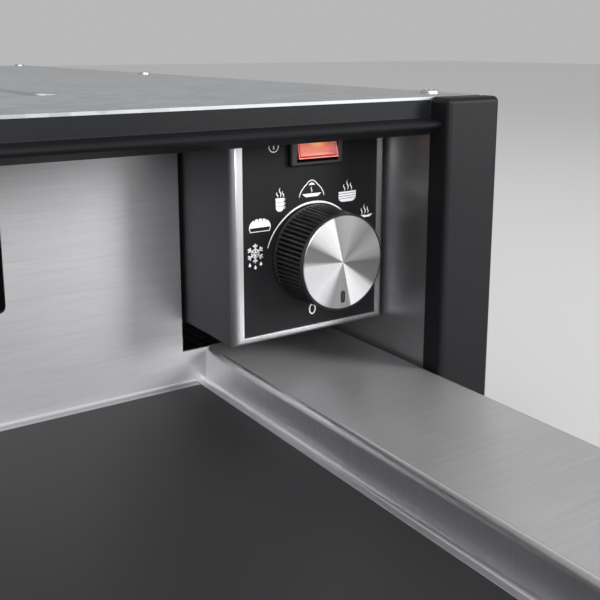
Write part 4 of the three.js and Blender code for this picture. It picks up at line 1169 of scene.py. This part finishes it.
class WARMER_OT_mat(bpy.types.Operator):
    """Cuts the anti slip mat with its rounded corners and soft edge"""

    bl_idname = "warmer.mat"
    bl_label = "Anti slip mat"

    def execute(self, context):
        corner, edge = 1.5 * MM, 0.45 * MM
        mat = cuboid("slip_mat", *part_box("anti_slip_mat"))
        pick(mat, "EDGE", lambda e: runs_along(e, Z))
        bpy.ops.mesh.bevel(offset=corner, segments=6, affect="EDGES", profile=0.5)
        pick(mat, "FACE", lambda f: f.normal.z > 0.9)
        bpy.ops.mesh.bevel(offset=edge, segments=3, affect="EDGES", profile=0.5)
        object_mode()
        outward(mat)
        smooth(mat)
        give(mat, "slip_mat_foam", "drawer", ["anti_slip_mat"])
        return {"FINISHED"}


def open_shell(name, low, high, radius, thickness, rounded, opened):
    """A box with some edges rounded and some sides left open, given its thickness inwards."""
    shell = cuboid(name, low, high)
    pick(shell, "EDGE", rounded)
    bpy.ops.mesh.bevel(offset=radius, segments=8, affect="EDGES", profile=0.5)
    pick(shell, "FACE", opened)
    bpy.ops.mesh.delete(type="FACE")
    object_mode()
    outward(shell)
    give_wall(shell, thickness)
    return shell


def give_wall(shell, thickness):
    """Gives an open shell its thickness, inwards."""
    apply_modifier(shell, "SOLIDIFY", thickness=thickness, offset=-1, use_even_offset=True, use_rim=True)


PAINTED_EDGE = 0.15 * MM  # width of the broken edges on painted sheet
PAINTED_SHEET = 1.2 * MM  # thickness of the side trims and of the drawer's front
TRIM_ROUND, FRONT_ROUND = 2 * MM, 1.5 * MM  # radius of their round edges


class WARMER_OT_front_trims(bpy.types.Operator):
    """Shapes the black side trims with their rounded edges"""

    bl_idname = "warmer.front_trims"
    bl_label = "Side trims"

    def execute(self, context):
        low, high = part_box("right_front_trim")

        def rounded(e):
            upright = runs_along(e, Z) and near(middle(e).y, low.y)
            top = near(middle(e).z, high.z) and not (runs_along(e, X) and near(middle(e).y, high.y))
            return upright or top

        trim = open_shell(
            "trim_right", low, high, TRIM_ROUND, PAINTED_SHEET, rounded,
            lambda f: f.normal.y > 0.99 or f.normal.z < -0.99,
        )
        soften(trim, PAINTED_EDGE)
        twin = mirrored_copy(trim, "trim_left")
        give(trim, "trim_black_paint", "housing", ["right_front_trim"])
        give(twin, "trim_black_paint", "housing", ["left_front_trim"])
        return {"FINISHED"}


RAIL_SHEET = 1 * MM
RAIL_FACE = -260.6 * MM  # place along Y of the rail's face
RAIL_LIFT = 1 * MM  # of its lower flange, over the node's
NOSE_LEVEL = 127.5 * MM
NOSE_REACH, NOSE_DROP = 7.1 * MM, 1.2 * MM  # how far the nose stands out, and how far its tip drops


class WARMER_OT_cross_rail(bpy.types.Operator):
    """Folds the black rail with its nose over the drawer"""

    bl_idname = "warmer.cross_rail"
    bl_label = "Cross rail"

    def execute(self, context):
        low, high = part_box("front_cross_rail")
        lower = low.z + RAIL_SHEET / 2 + RAIL_LIFT
        path = [
            (RAIL_FACE, high.z),
            (RAIL_FACE, NOSE_LEVEL),
            (RAIL_FACE - NOSE_REACH, NOSE_LEVEL - NOSE_DROP),
            (RAIL_FACE, lower),
            (high.y, lower),
        ]
        rail = folded_sheet("cross_rail", path, low.x, high.x, X, RAIL_SHEET, 0.4 * MM)
        soften(rail, PAINTED_EDGE)
        give(rail, "trim_black_paint", "housing", ["front_cross_rail"])
        return {"FINISHED"}


BOX_WALL = 0.9 * MM


class WARMER_OT_control_box(bpy.types.Operator):
    """Shapes the control box with its bright rounded rim round the fascia"""

    bl_idname = "warmer.control_box"
    bl_label = "Control box"

    def execute(self, context):
        sizes = settings().control
        low, high = BOX_LOW, BOX_HIGH
        shell = cuboid("box_shell", low, high)
        pick(shell, "EDGE", lambda e: near(middle(e).y, low.y))
        bpy.ops.mesh.bevel(offset=sizes.box_radius, segments=10, affect="EDGES", profile=0.5)
        pick(shell, "FACE", lambda f: f.normal.y < -0.999)
        width, height = high.x - low.x, high.z - low.z
        flat_width, flat_height = width - 2 * sizes.box_radius, height - 2 * sizes.box_radius
        step = min(sizes.rim_side, sizes.rim_end) - sizes.box_radius
        bpy.ops.mesh.inset(thickness=step)
        scale = (
            (width - 2 * sizes.rim_side) / (flat_width - 2 * step), 1,
            (height - 2 * sizes.rim_end) / (flat_height - 2 * step),
        )
        centre = ((low.x + high.x) / 2, low.y, (low.z + high.z) / 2)
        bpy.ops.transform.resize(value=scale, center_override=centre)
        bpy.ops.mesh.delete(type="FACE")
        pick(shell, "FACE", lambda f: f.normal.y > 0.999)
        bpy.ops.mesh.delete(type="FACE")
        object_mode()
        outward(shell)
        seam = (low.x, low.y + sizes.rim_depth, low.z)
        rim = copy_of(shell, "box_rim")
        keep_side(rim, seam, front=True)
        keep_side(shell, seam, front=False)
        # The shell behind the rim gets the dark steel, painted shade on the box's sides; the rim fades into it.
        for piece, finish_name in ((shell, "box_dark_steel"), (rim, "box_rim_steel")):
            give_wall(piece, BOX_WALL)
            smooth(piece)
            give(piece, finish_name, "housing", ["control_box"])
        return {"FINISHED"}


def keep_side(piece, place, front):
    """Cuts a piece across Y and keeps its front or its back."""
    only(piece)
    bpy.ops.object.mode_set(mode="EDIT")
    bpy.ops.mesh.select_all(action="SELECT")
    bpy.ops.mesh.bisect(plane_co=place, plane_no=Y, clear_outer=front, clear_inner=not front)
    object_mode()


CAP_THICK = 1.05 * MM
CAP_CHAMFER = 0.15 * MM, 0.2 * MM  # along the axis, and across it
GRIP_CHAMFER = 0.3 * MM
MARK_DROP = 11.9 * MM  # from the knob's axis down to the middle of its mark
MARK_WIDTH, MARK_HEIGHT = 1.5 * MM, 4.0 * MM
MARK_GAP = 0.15 * MM  # round the mark, in the cap
MARK_RIM, MARK_RISE = 0.42 * MM, 0.12 * MM  # its lower rim, and how far its middle stands over it


class WARMER_OT_knob(bpy.types.Operator):
    """Shapes the ribbed knob, its turned metal cap and the mark"""

    bl_idname = "warmer.knob"
    bl_label = "Knob"

    def execute(self, context):
        sizes = settings().control
        back, front = KNOB_HIGH.y, KNOB_LOW.y
        axis = KNOB_AXIS
        base_radius, front_radius = GRIP_RADIUS, GRIP_RADIUS - GRIP_TAPER
        per_rib = 6  # vertices
        body = disc("knob_grip", axis + Y * back, base_radius, sizes.ribs * per_rib)
        length = back - front

        def radius_at(share):
            return base_radius + (front_radius - base_radius) * share

        # Back to front: a plain band, the ribs with a short run-out at each end, and a plain rim.
        stops = [0.0, 0.9 * MM, 1.3 * MM, length - 1.7 * MM, length - 1.3 * MM, length - 0.35 * MM, length]
        pick(body, "FACE", lambda f: True)
        for here, there in zip(stops, stops[1:]):
            ratio = radius_at(there / length) / radius_at(here / length)
            if there == stops[-1]:
                ratio *= (front_radius - GRIP_CHAMFER) / front_radius
            extrude_and_scale(-Y * (there - here), (ratio, 1, ratio), axis + Y * (back - there))
        cap_gap, seat = 0.1 * MM, 1.35 * MM
        bpy.ops.mesh.inset(thickness=front_radius - GRIP_CHAMFER - CAP_RADIUS - cap_gap)
        extrude(Y * seat)
        groove = {1: 0.06, 2: 0.6, 3: 1.0, 4: 0.6, 5: 0.06}  # share of the depth at each vertex past a crest
        pitch = 2 * math.pi / (sizes.ribs * per_rib)
        ribbed = (back - stops[3] - EPS, back - stops[2] + EPS)
        for step, share in groove.items():

            def in_groove(v):
                if not ribbed[0] < v.co.y < ribbed[1] or (v.co - axis).xz.length < CAP_RADIUS:
                    return False
                turn = math.atan2(v.co.z - axis.z, v.co.x - axis.x) / pitch
                return round(turn) % per_rib == step

            pick(body, "VERT", in_groove)
            ratio = 1 - share * sizes.rib_depth / base_radius
            bpy.ops.transform.resize(value=(ratio, 1, ratio), center_override=axis)
        object_mode()
        outward(body)
        smooth(body)
        give(body, "ribbed_black_plastic", "knob", ["knob_body"])

        rise, draw_in = CAP_CHAMFER
        cap = disc("knob_disc", axis + Y * (front + CAP_THICK + rise), CAP_RADIUS, 128)
        pick(cap, "FACE", lambda f: True)
        extrude(-Y * CAP_THICK)
        ratio = 1 - draw_in / CAP_RADIUS
        extrude_and_scale(-Y * rise, (ratio, 1, ratio), axis)
        object_mode()
        outward(cap)
        places = [(axis.x, axis.z - MARK_DROP)]
        hole_width, hole_height = MARK_WIDTH + 2 * MARK_GAP, MARK_HEIGHT + 2 * MARK_GAP
        cut(cap, upright_slots("cutter", places, hole_width, hole_height, front - PAST, front + 3 * MM))
        outward(cap)
        smooth(cap)
        give(cap, "turned_disc_metal", "knob", ["knob_cap"])
        face, foot = front + 0.25 * MM, front + 1.3 * MM
        mark = upright_slots("knob_mark", places, MARK_WIDTH, MARK_HEIGHT, face, foot)
        pick(mark, "FACE", lambda f: f.normal.y < -0.99)
        bpy.ops.mesh.inset(thickness=MARK_RIM)
        extrude(-Y * MARK_RISE)
        object_mode()
        outward(mark)
        smooth(mark)
        give(mark, "moulded_black_plastic", "knob")
        return {"FINISHED"}


BEZEL_ROUND = 0.8 * MM
WELL_SIZE = 17.0 * MM, 12.2 * MM  # the bezel's opening, along X and Z
WELL_DEPTH = 7.2 * MM  # behind the rocker's pivot
BODY_SIZE = 19.2 * MM, 13.6 * MM  # the switch behind the fascia, along X and Z
BUTTON_HALF = 8.2 * MM, 5.5 * MM  # half the button, along X and Z
BUTTON_REACH = 3.1 * MM  # from the pivot to the line where its two slopes meet
PANE_IN = 0.95 * MM  # from the button's edge to the pane's


def inset_to(thickness, size, wanted, centre):
    """Insets a face of a size along X and Z, then scales what is inside to the size that is wanted."""
    bpy.ops.mesh.inset(thickness=thickness)
    scale = (wanted[0] / (size[0] - 2 * thickness), 1, wanted[1] / (size[1] - 2 * thickness))
    bpy.ops.transform.resize(value=scale, center_override=centre)


def slope_from_middle(piece, pivot, rise, chosen):
    """Cuts a piece level with the pivot, and moves the chosen vertices forwards, so that it slopes both ways."""
    only(piece)
    bpy.ops.object.mode_set(mode="EDIT")
    bpy.ops.mesh.select_all(action="SELECT")
    bpy.ops.mesh.bisect(plane_co=pivot, plane_no=Z)
    pick(piece, "VERT", chosen)
    bpy.ops.transform.translate(value=(0, -rise, 0))


class WARMER_OT_rocker(bpy.types.Operator):
    """Shapes the rocker switch: its bezel, the lit lens and the diffusing pane"""

    bl_idname = "warmer.rocker"
    bl_label = "Rocker switch"

    def execute(self, context):
        sizes = settings().control
        low, high = BEZEL_LOW, BEZEL_HIGH
        pivot = ROCKER_PIVOT
        face = FASCIA_FACE - 0.1 * MM
        bezel = cuboid("rocker_bezel", low, Vector((high.x, face, high.z)))
        pick(bezel, "EDGE", lambda e: middle(e).y < face - EPS)
        bpy.ops.mesh.bevel(offset=BEZEL_ROUND, segments=5, affect="EDGES", profile=0.5)
        pick(bezel, "FACE", lambda f: f.normal.y < -0.999)
        flat_size = high.x - low.x - 2 * BEZEL_ROUND, high.z - low.z - 2 * BEZEL_ROUND
        inset_to(0.3 * MM, flat_size, WELL_SIZE, Vector((pivot.x, low.y, pivot.z)))
        extrude(Y * (pivot.y + WELL_DEPTH - low.y))
        pick(bezel, "FACE", lambda f: f.normal.y > 0.999 and near(f.calc_center_median().y, face))
        inset_to(0.7 * MM, (high.x - low.x, high.z - low.z), BODY_SIZE, Vector((pivot.x, face, pivot.z)))
        extrude(Y * (high.y - face))
        object_mode()
        outward(bezel)
        soften(bezel, 0.12 * MM)
        give(bezel, "moulded_black_plastic", "housing", ["rocker_housing"])

        half_x, half_z = BUTTON_HALF
        low, high = pivot - Vector((half_x, BUTTON_REACH, half_z)), pivot + Vector((half_x, 0, half_z))
        lens = cuboid("rocker_lens", low, high)
        rise = half_z * math.tan(ROCKER_FLANK)
        slope_from_middle(
            lens, pivot, rise, lambda v: v.co.y < pivot.y - EPS and abs(v.co.z - pivot.z) > EPS
        )
        pick(lens, "FACE", lambda f: f.normal.y > 0.99)
        extrude(Y * BUTTON_REACH)
        bpy.ops.transform.resize(value=(1, 1, 0.5), center_override=pivot)
        pick(lens, "FACE", lambda f: f.normal.y < -0.9)
        frame_width, step_down = 0.65 * MM, 0.25 * MM
        bpy.ops.mesh.inset(thickness=frame_width)
        bpy.ops.mesh.inset(thickness=step_down, depth=-step_down)
        object_mode()
        outward(lens)
        soften(lens, 0.25 * MM, 3)
        turn_about(lens, pivot, sizes.rocker_tilt)
        give(lens, "lit_amber_lens", "rocker", ["rocker_button"])

        half_x, half_z = half_x - PANE_IN, half_z - PANE_IN
        front, back = 0.15 * MM - BUTTON_REACH, 0.6 * MM - BUTTON_REACH
        low, high = pivot + Vector((-half_x, front, -half_z)), pivot + Vector((half_x, back, half_z))
        pane = cuboid("rocker_pane", low, high)
        rise = half_z * math.tan(ROCKER_FLANK)
        slope_from_middle(pane, pivot, rise, lambda v: abs(v.co.z - pivot.z) > EPS)
        object_mode()
        outward(pane)
        soften(pane, 0.1 * MM)
        turn_about(pane, pivot, sizes.rocker_tilt)
        give(pane, "amber_diffuser", "rocker")
        return {"FINISHED"}


def turn_about(piece, pivot, angle):
    """Turns a piece about a line along X through a pivot, in its mesh."""
    move = Matrix.Translation(pivot) @ Matrix.Rotation(angle, 4, "X") @ Matrix.Translation(-pivot)
    piece.matrix_world = move
    bpy.context.view_layer.update()
    place_in_mesh(piece)


class WARMER_OT_drawer_front(bpy.types.Operator):
    """Shapes the drawer's flat front with its rounded edges"""

    bl_idname = "warmer.drawer_front"
    bl_label = "Drawer front"

    def execute(self, context):
        low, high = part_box("front_panel")
        panel = open_shell(
            "front_plate", low, high, FRONT_ROUND, PAINTED_SHEET,
            lambda e: middle(e).y < high.y - EPS,
            lambda f: f.normal.y > 0.99,
        )
        soften(panel, PAINTED_EDGE)
        give(panel, "front_anthracite_paint", "drawer", ["front_panel"])
        return {"FINISHED"}


# ---------------------------------------------------------------- symbols on the fascia

# In millimetres from each symbol's own middle: lines of a width, or filled outlines.


def line(width, points, closed=False, taper=None):
    return {"width": width, "points": points, "closed": closed, "taper": taper}


def fill(*outlines):
    return {"outlines": outlines}


def arc(cx, cz, radius, start, end, steps=16, squash=1.0):
    turns = [math.radians(start + (end - start) * i / steps) for i in range(steps + 1)]
    return [(cx + radius * math.cos(t), cz + squash * radius * math.sin(t)) for t in turns]


def wisp(x, low, high, width=0.5, sway=0.34):
    """A wavy line of steam, fine at both ends."""
    shares = [i / 12 for i in range(13)]
    points = [(x + sway * math.sin(2 * math.pi * t), low + (high - low) * t) for t in shares]
    taper = [0.2 + 0.8 * math.sin(math.pi * min(1, 0.12 + 0.85 * t)) for t in shares]
    return line(width, points, taper=taper)


def snowflake_symbol():
    marks = []
    cz = 0.85
    for k in range(6):
        turn = math.radians(30 + 60 * k)

        def on_arm(out, side):
            c, s = math.cos(turn), math.sin(turn)
            return (out * c - side * s, cz + out * s + side * c)

        marks.append(line(0.62, [on_arm(0, 0), on_arm(3.35, 0)]))
        for side in (-1, 1):
            marks.append(line(0.52, [on_arm(1.95, 0), on_arm(2.85, side * 0.85)]))
            marks.append(line(0.42, [on_arm(0.95, 0), on_arm(1.5, side * 0.62)]))
    for x, z in ((-2.15, -3.1), (0.0, -4.1), (2.15, -3.1)):
        marks.append(fill([(x, z + 0.95)] + arc(x, z, 0.48, 25, -205, 12)))
    return marks


def bread_symbol():
    half, base, rise = 4.35, -0.75, 3.05
    cuts = (-2.1, -0.6, 0.9, 2.4)

    def crust(x):
        return base + rise * (1 - abs(x / half) ** 2.6) ** 0.55

    top = []
    x = -half
    while x < half:
        notch = next((c for c in cuts if abs(x - c) < 0.2), None)
        if notch is None:
            top.append((x, crust(x)))
            x += 0.15
        else:
            top.append((notch - 0.2, crust(notch - 0.2)))
            top.append((notch + 0.12, crust(notch) - 1.35))
            top.append((notch + 0.24, crust(notch + 0.24)))
            x = notch + 0.35
    loaf = [(-half, base), *top, (half, base)]
    lower = [(-half + 0.1, base), (-half + 0.5, -2.15), (half - 0.5, -2.15), (half - 0.1, base)]
    return [fill(loaf), line(0.36, lower)]


def cups_symbol():
    marks = [
        fill([(-2.15, 0.6), (1.7, 0.6), (1.5, -0.95), (-1.95, -0.95)]),
        fill([(-2.1, -1.1), (1.65, -1.1), (1.5, -2.5), (-1.9, -2.5)]),
        fill([(-2.1, -2.65), (1.65, -2.65), (1.35, -3.7), (0.6, -4.45), (-1.0, -4.45), (-1.8, -3.7)]),
    ]
    marks += [line(0.3, arc(1.6, z, 0.5, 75, -75, 8)) for z in (-0.05, -1.6, -3.1)]
    marks += [wisp(-1.35, 0.95, 2.9), wisp(0.0, 0.95, 4.5), wisp(1.25, 0.95, 3.2)]
    return marks


def cloche_symbol():
    left = [
        (-5.45, -2.9), (-5.1, -1.6), (-4.3, -0.3), (-3.35, 0.75), (-2.4, 1.55), (-1.75, 2.25), (-1.0, 2.8)
    ]
    bell = [*left, (0, 3.05), *[(-x, z) for x, z in reversed(left)]]
    handle = [(-1.35, 1.2), (-0.9, 1.9), (0, 2.25), (0.9, 1.9), (1.35, 1.2), (0, 1.35)]
    plate = [(-4.2, -1.8), (4.2, -1.8), (2.7, -3.0), (-2.7, -3.0)]
    return [line(0.46, bell), fill(handle), wisp(-0.1, -1.4, 0.75, 0.45, 0.2), fill(plate)]


def plates_symbol():
    marks = [
        fill([(-4.0, -0.3), (4.0, -0.2), (4.0, -0.85), (-4.0, -1.0)]),
        fill([(-4.0, -1.2), (4.0, -1.05), (3.95, -1.75), (-4.0, -1.95)]),
        fill([(-4.0, -2.15), (3.95, -1.95), (3.9, -2.65), (-3.95, -2.85)]),
        fill([(-3.9, -3.05), (3.9, -2.85), (3.3, -3.5), (2.4, -4.1), (-2.4, -4.1), (-3.4, -3.6)]),
    ]
    return marks + [wisp(-1.45, 0.05, 2.5), wisp(0.1, 0.3, 4.1), wisp(1.7, 0.15, 2.9)]


def soup_symbol():
    plate = [(-2.75, -1.35), (0, -1.7), (2.75, -1.3), (1.3, -2.35), (-1.2, -2.4)]
    steam = [wisp(-2.2, -1.05, 1.1, 0.4, 0.25), wisp(-0.9, -1.1, 2.45, 0.4), wisp(0.5, -1.0, 1.5, 0.4, 0.25)]
    return [fill(plate), *steam]


def zero_symbol():
    return [line(0.62, arc(0, 0, 1.22, 0, 345, 23, 1.42), closed=True)]


def mains_symbol():
    return [line(0.42, arc(0, 0, 1.85, 0, 345, 23), closed=True), line(0.5, [(0, -0.95), (0, 0.95)])]


def scale_symbol():
    """The arc round the knob: pointed at both ends and widest near the top."""
    stops = [  # degrees from +X towards +Z, radius and width
        (47, 17.9, 0.1), (58, 17.9, 0.55), (90, 18.0, 0.95), (136, 18.8, 0.62), (158, 19.7, 0.42),
        (170, 20.2, 0.3),
    ]
    points, widths = [], []
    for (a0, r0, w0), (a1, r1, w1) in zip(stops, stops[1:]):
        for i in range(8):
            t = i / 8
            angle, radius = math.radians(a0 + (a1 - a0) * t), r0 + (r1 - r0) * t
            points.append((radius * math.cos(angle), radius * math.sin(angle)))
            widths.append(w0 + (w1 - w0) * t)
    return [line(1.0, points, taper=widths)]


# Each symbol: what draws it, its place from the knob's axis, and its scale.
SYMBOLS = {
    "symbol_snowflake": (snowflake_symbol, (-24.0, 2.0), 1.0),
    "symbol_bread": (bread_symbol, (-22.1, 12.3), 0.98),
    "symbol_cups": (cups_symbol, (-14.0, 20.2), 0.9),
    "symbol_cloche": (cloche_symbol, (-1.1, 22.9), 0.95),
    "symbol_plates": (plates_symbol, (14.2, 20.8), 0.95),
    "symbol_soup": (soup_symbol, (23.0, 12.7), 1.0),
    "symbol_zero": (zero_symbol, (-0.7, -20.4), 1.0),
    "symbol_scale": (scale_symbol, (0.6, 0.0), 1.0),
    "symbol_mains": (mains_symbol, (-16.5, 38.3), 1.0),
}


def drawn(mark, height):
    """One line or filled outline of a symbol as a mesh in the XY plane, in millimetres."""
    deselect()
    bpy.ops.curve.primitive_nurbs_path_add(location=(0, 0, 0))
    stroke = bpy.context.object
    curve = stroke.data
    curve.splines.clear()
    filled = "outlines" in mark
    for points in mark["outlines"] if filled else [mark["points"]]:
        spline = curve.splines.new("POLY")
        spline.points.add(len(points) - 1)
        for point, (x, z) in zip(spline.points, points):
            point.co = (x, z, 0, 1)
        spline.use_cyclic_u = filled or mark["closed"]
    if filled:
        curve.dimensions, curve.fill_mode, curve.extrude = "2D", "BOTH", height
    else:
        for point, share in zip(curve.splines[0].points, mark["taper"] or []):
            point.radius = share
        curve.bevel_depth, curve.bevel_resolution, curve.use_fill_caps = mark["width"] / 2, 1, True
    only(stroke)
    bpy.ops.object.convert(target="MESH")
    mesh = bpy.context.object
    if not filled:
        mesh.scale.z = 2 * height / mark["width"]
        place_in_mesh(mesh)
    return mesh


class WARMER_OT_fascia_print(bpy.types.Operator):
    """Prints the symbols round the knob on the fascia"""

    bl_idname = "warmer.fascia_print"
    bl_label = "Fascia print"

    def execute(self, context):
        height = settings().control.ink_height / MM
        for name, (draw, (dx, dz), size) in SYMBOLS.items():
            ink = joined([drawn(mark, height) for mark in draw()], name)
            ink.rotation_euler.x = math.pi / 2
            ink.scale = (size * MM, size * MM, MM)
            ink.location = KNOB_AXIS + Vector((dx, 0, dz)) * MM + Y * FASCIA_FACE
            place_in_mesh(ink)
            outward(ink)
            give(ink, "printed_ink", "housing")
        return {"FINISHED"}


# ---------------------------------------------------------------- studio

FLOOR_SIZE, FLOOR_GAP = 12, 0.2 * MM
FLOOR_GREY = 0.6
FILM_WIDTH = 36  # in millimetres, as the focal length
NEAREST_SEEN = 5 * MM
LAMP_SPREAD = math.radians(70)  # keeps the lamps off the floor in front of them
# Each lamp: its place, what it is aimed at, and its width.
LAMPS = {
    "key": ((-0.45, -2.2, 0.7), (0, -0.3, 0.05), 1.8),
    "side": ((1.75, -2.1, 0.65), (0.2, -0.25, 0.08), 1.0),
    "top": ((-0.4, -0.7, 2.2), (0, -0.4, 0.05), 1.2),
}


class WARMER_OT_studio(bpy.types.Operator):
    """Sets the floor, the room, the lights and the camera"""

    bl_idname = "warmer.studio"
    bl_label = "Studio"

    def execute(self, context):
        studio = settings().studio
        scene = context.scene
        scene.view_settings.view_transform = "Standard"
        deselect()
        bpy.ops.mesh.primitive_plane_add(size=FLOOR_SIZE, location=(0, 0, cad_box[0][2] - FLOOR_GAP))
        floor = bpy.context.object
        floor.name = floor.data.name = "studio_floor"
        place_in_mesh(floor)
        material, tree, shader, coordinates = new_finish(
            "studio_floor", (FLOOR_GREY, FLOOR_GREY, FLOOR_GREY), 0.7, specular=0.1
        )
        cloud = add_node(tree, "ShaderNodeTexNoise", {"Scale": 3.0, "Detail": 2.0})
        tree.links.new(coordinates, cloud.inputs["Vector"])
        vary(tree, cloud.outputs["Fac"], 0.66, 0.76, shader.inputs["Roughness"])
        floor.data.materials.append(material)

        world = bpy.data.worlds.new("studio_room")
        scene.world = world
        world.use_nodes = True
        tree = world.node_tree
        tree.nodes.clear()
        link = tree.links.new
        rays = tree.nodes.new("ShaderNodeLightPath")
        seen = rays.outputs["Is Camera Ray"]
        for kind in ("Is Glossy Ray", "Is Transmission Ray"):
            either = add_node(tree, "ShaderNodeMath", operation="MAXIMUM")
            link(seen, either.inputs[0])
            link(rays.outputs[kind], either.inputs[1])
            seen = either.outputs[0]
        # Surfaces are lit by the daylight; the camera and reflections see the backdrop.
        strength = add_node(
            tree, "ShaderNodeMapRange", {"To Min": studio.daylight, "To Max": studio.backdrop}
        )
        link(seen, strength.inputs["Value"])
        background = add_node(tree, "ShaderNodeBackground", {"Color": (1, 1, 1, 1)})
        link(strength.outputs[0], background.inputs["Strength"])
        out = tree.nodes.new("ShaderNodeOutputWorld")
        link(background.outputs[0], out.inputs["Surface"])

        for name, (place, target, width) in LAMPS.items():
            self.add_lamp(name + "_light", place, target, width, getattr(studio, name))

        deselect()
        turn = (math.pi / 2 - studio.camera_pitch, 0, -studio.camera_yaw)
        bpy.ops.object.camera_add(location=studio.camera_place, rotation=turn)
        camera = bpy.context.object
        camera.name = "photo_camera"
        camera.data.lens = studio.focal_length
        camera.data.sensor_width = FILM_WIDTH
        camera.data.shift_y = studio.shift
        camera.data.clip_start = NEAREST_SEEN
        scene.camera = camera
        return {"FINISHED"}

    def add_lamp(self, name, place, target, width, power):
        turn = (Vector(target) - Vector(place)).to_track_quat("-Z", "Y").to_euler()
        deselect()
        bpy.ops.object.light_add(type="AREA", location=place, rotation=turn)
        light = bpy.context.object
        light.name = name
        light.data.shape = "DISK"
        light.data.size = width
        light.data.energy = power
        light.data.spread = LAMP_SPREAD


STEPS = [
    WARMER_OT_finishes,
    WARMER_OT_shelves,
    WARMER_OT_rear_wall,
    WARMER_OT_mat,
    WARMER_OT_front_trims,
    WARMER_OT_cross_rail,
    WARMER_OT_control_box,
    WARMER_OT_fascia_print,
    WARMER_OT_knob,
    WARMER_OT_rocker,
    WARMER_OT_drawer_front,
    WARMER_OT_broken_edges,
    WARMER_OT_housing_screws,
    WARMER_OT_beads,
    WARMER_OT_studio,
]


class WARMER_PT_panel(bpy.types.Panel):
    """Lists the warming drawer's sizes, colours and steps"""

    bl_idname = "WARMER_PT_panel"
    bl_label = "Warming Drawer"
    bl_space_type = "VIEW_3D"
    bl_region_type = "UI"
    bl_category = "Warming Drawer"

    def draw(self, context):
        values = context.scene.warming_drawer
        for title, group in (
            ("Sheets", values.sheets),
            ("Control box", values.control),
            ("Colours", values.colours),
            ("Studio", values.studio),
        ):
            box = self.layout.box()
            box.label(text=title)
            for name in group.bl_rna.properties.keys():
                if name not in ("rna_type", "name"):  # what every property group has
                    box.prop(group, name)
        for step in STEPS:
            self.layout.operator(step.bl_idname)


GROUPS = [SheetSizes, ControlSizes, FinishColours, StudioSettings, WarmingDrawerSettings]
CLASSES = [*GROUPS, *STEPS, WARMER_PT_panel]


def register():
    for cls in CLASSES:
        bpy.utils.register_class(cls)
    bpy.types.Scene.warming_drawer = PointerProperty(type=WarmingDrawerSettings)


def unregister():
    del bpy.types.Scene.warming_drawer
    for cls in reversed(CLASSES):
        bpy.utils.unregister_class(cls)


def main():
    register()
    for step in STEPS:
        group, name = step.bl_idname.split(".")
        getattr(getattr(bpy.ops, group), name)()
    object_mode()
    bpy.context.view_layer.update()


if __name__ == "__main__":
    main()
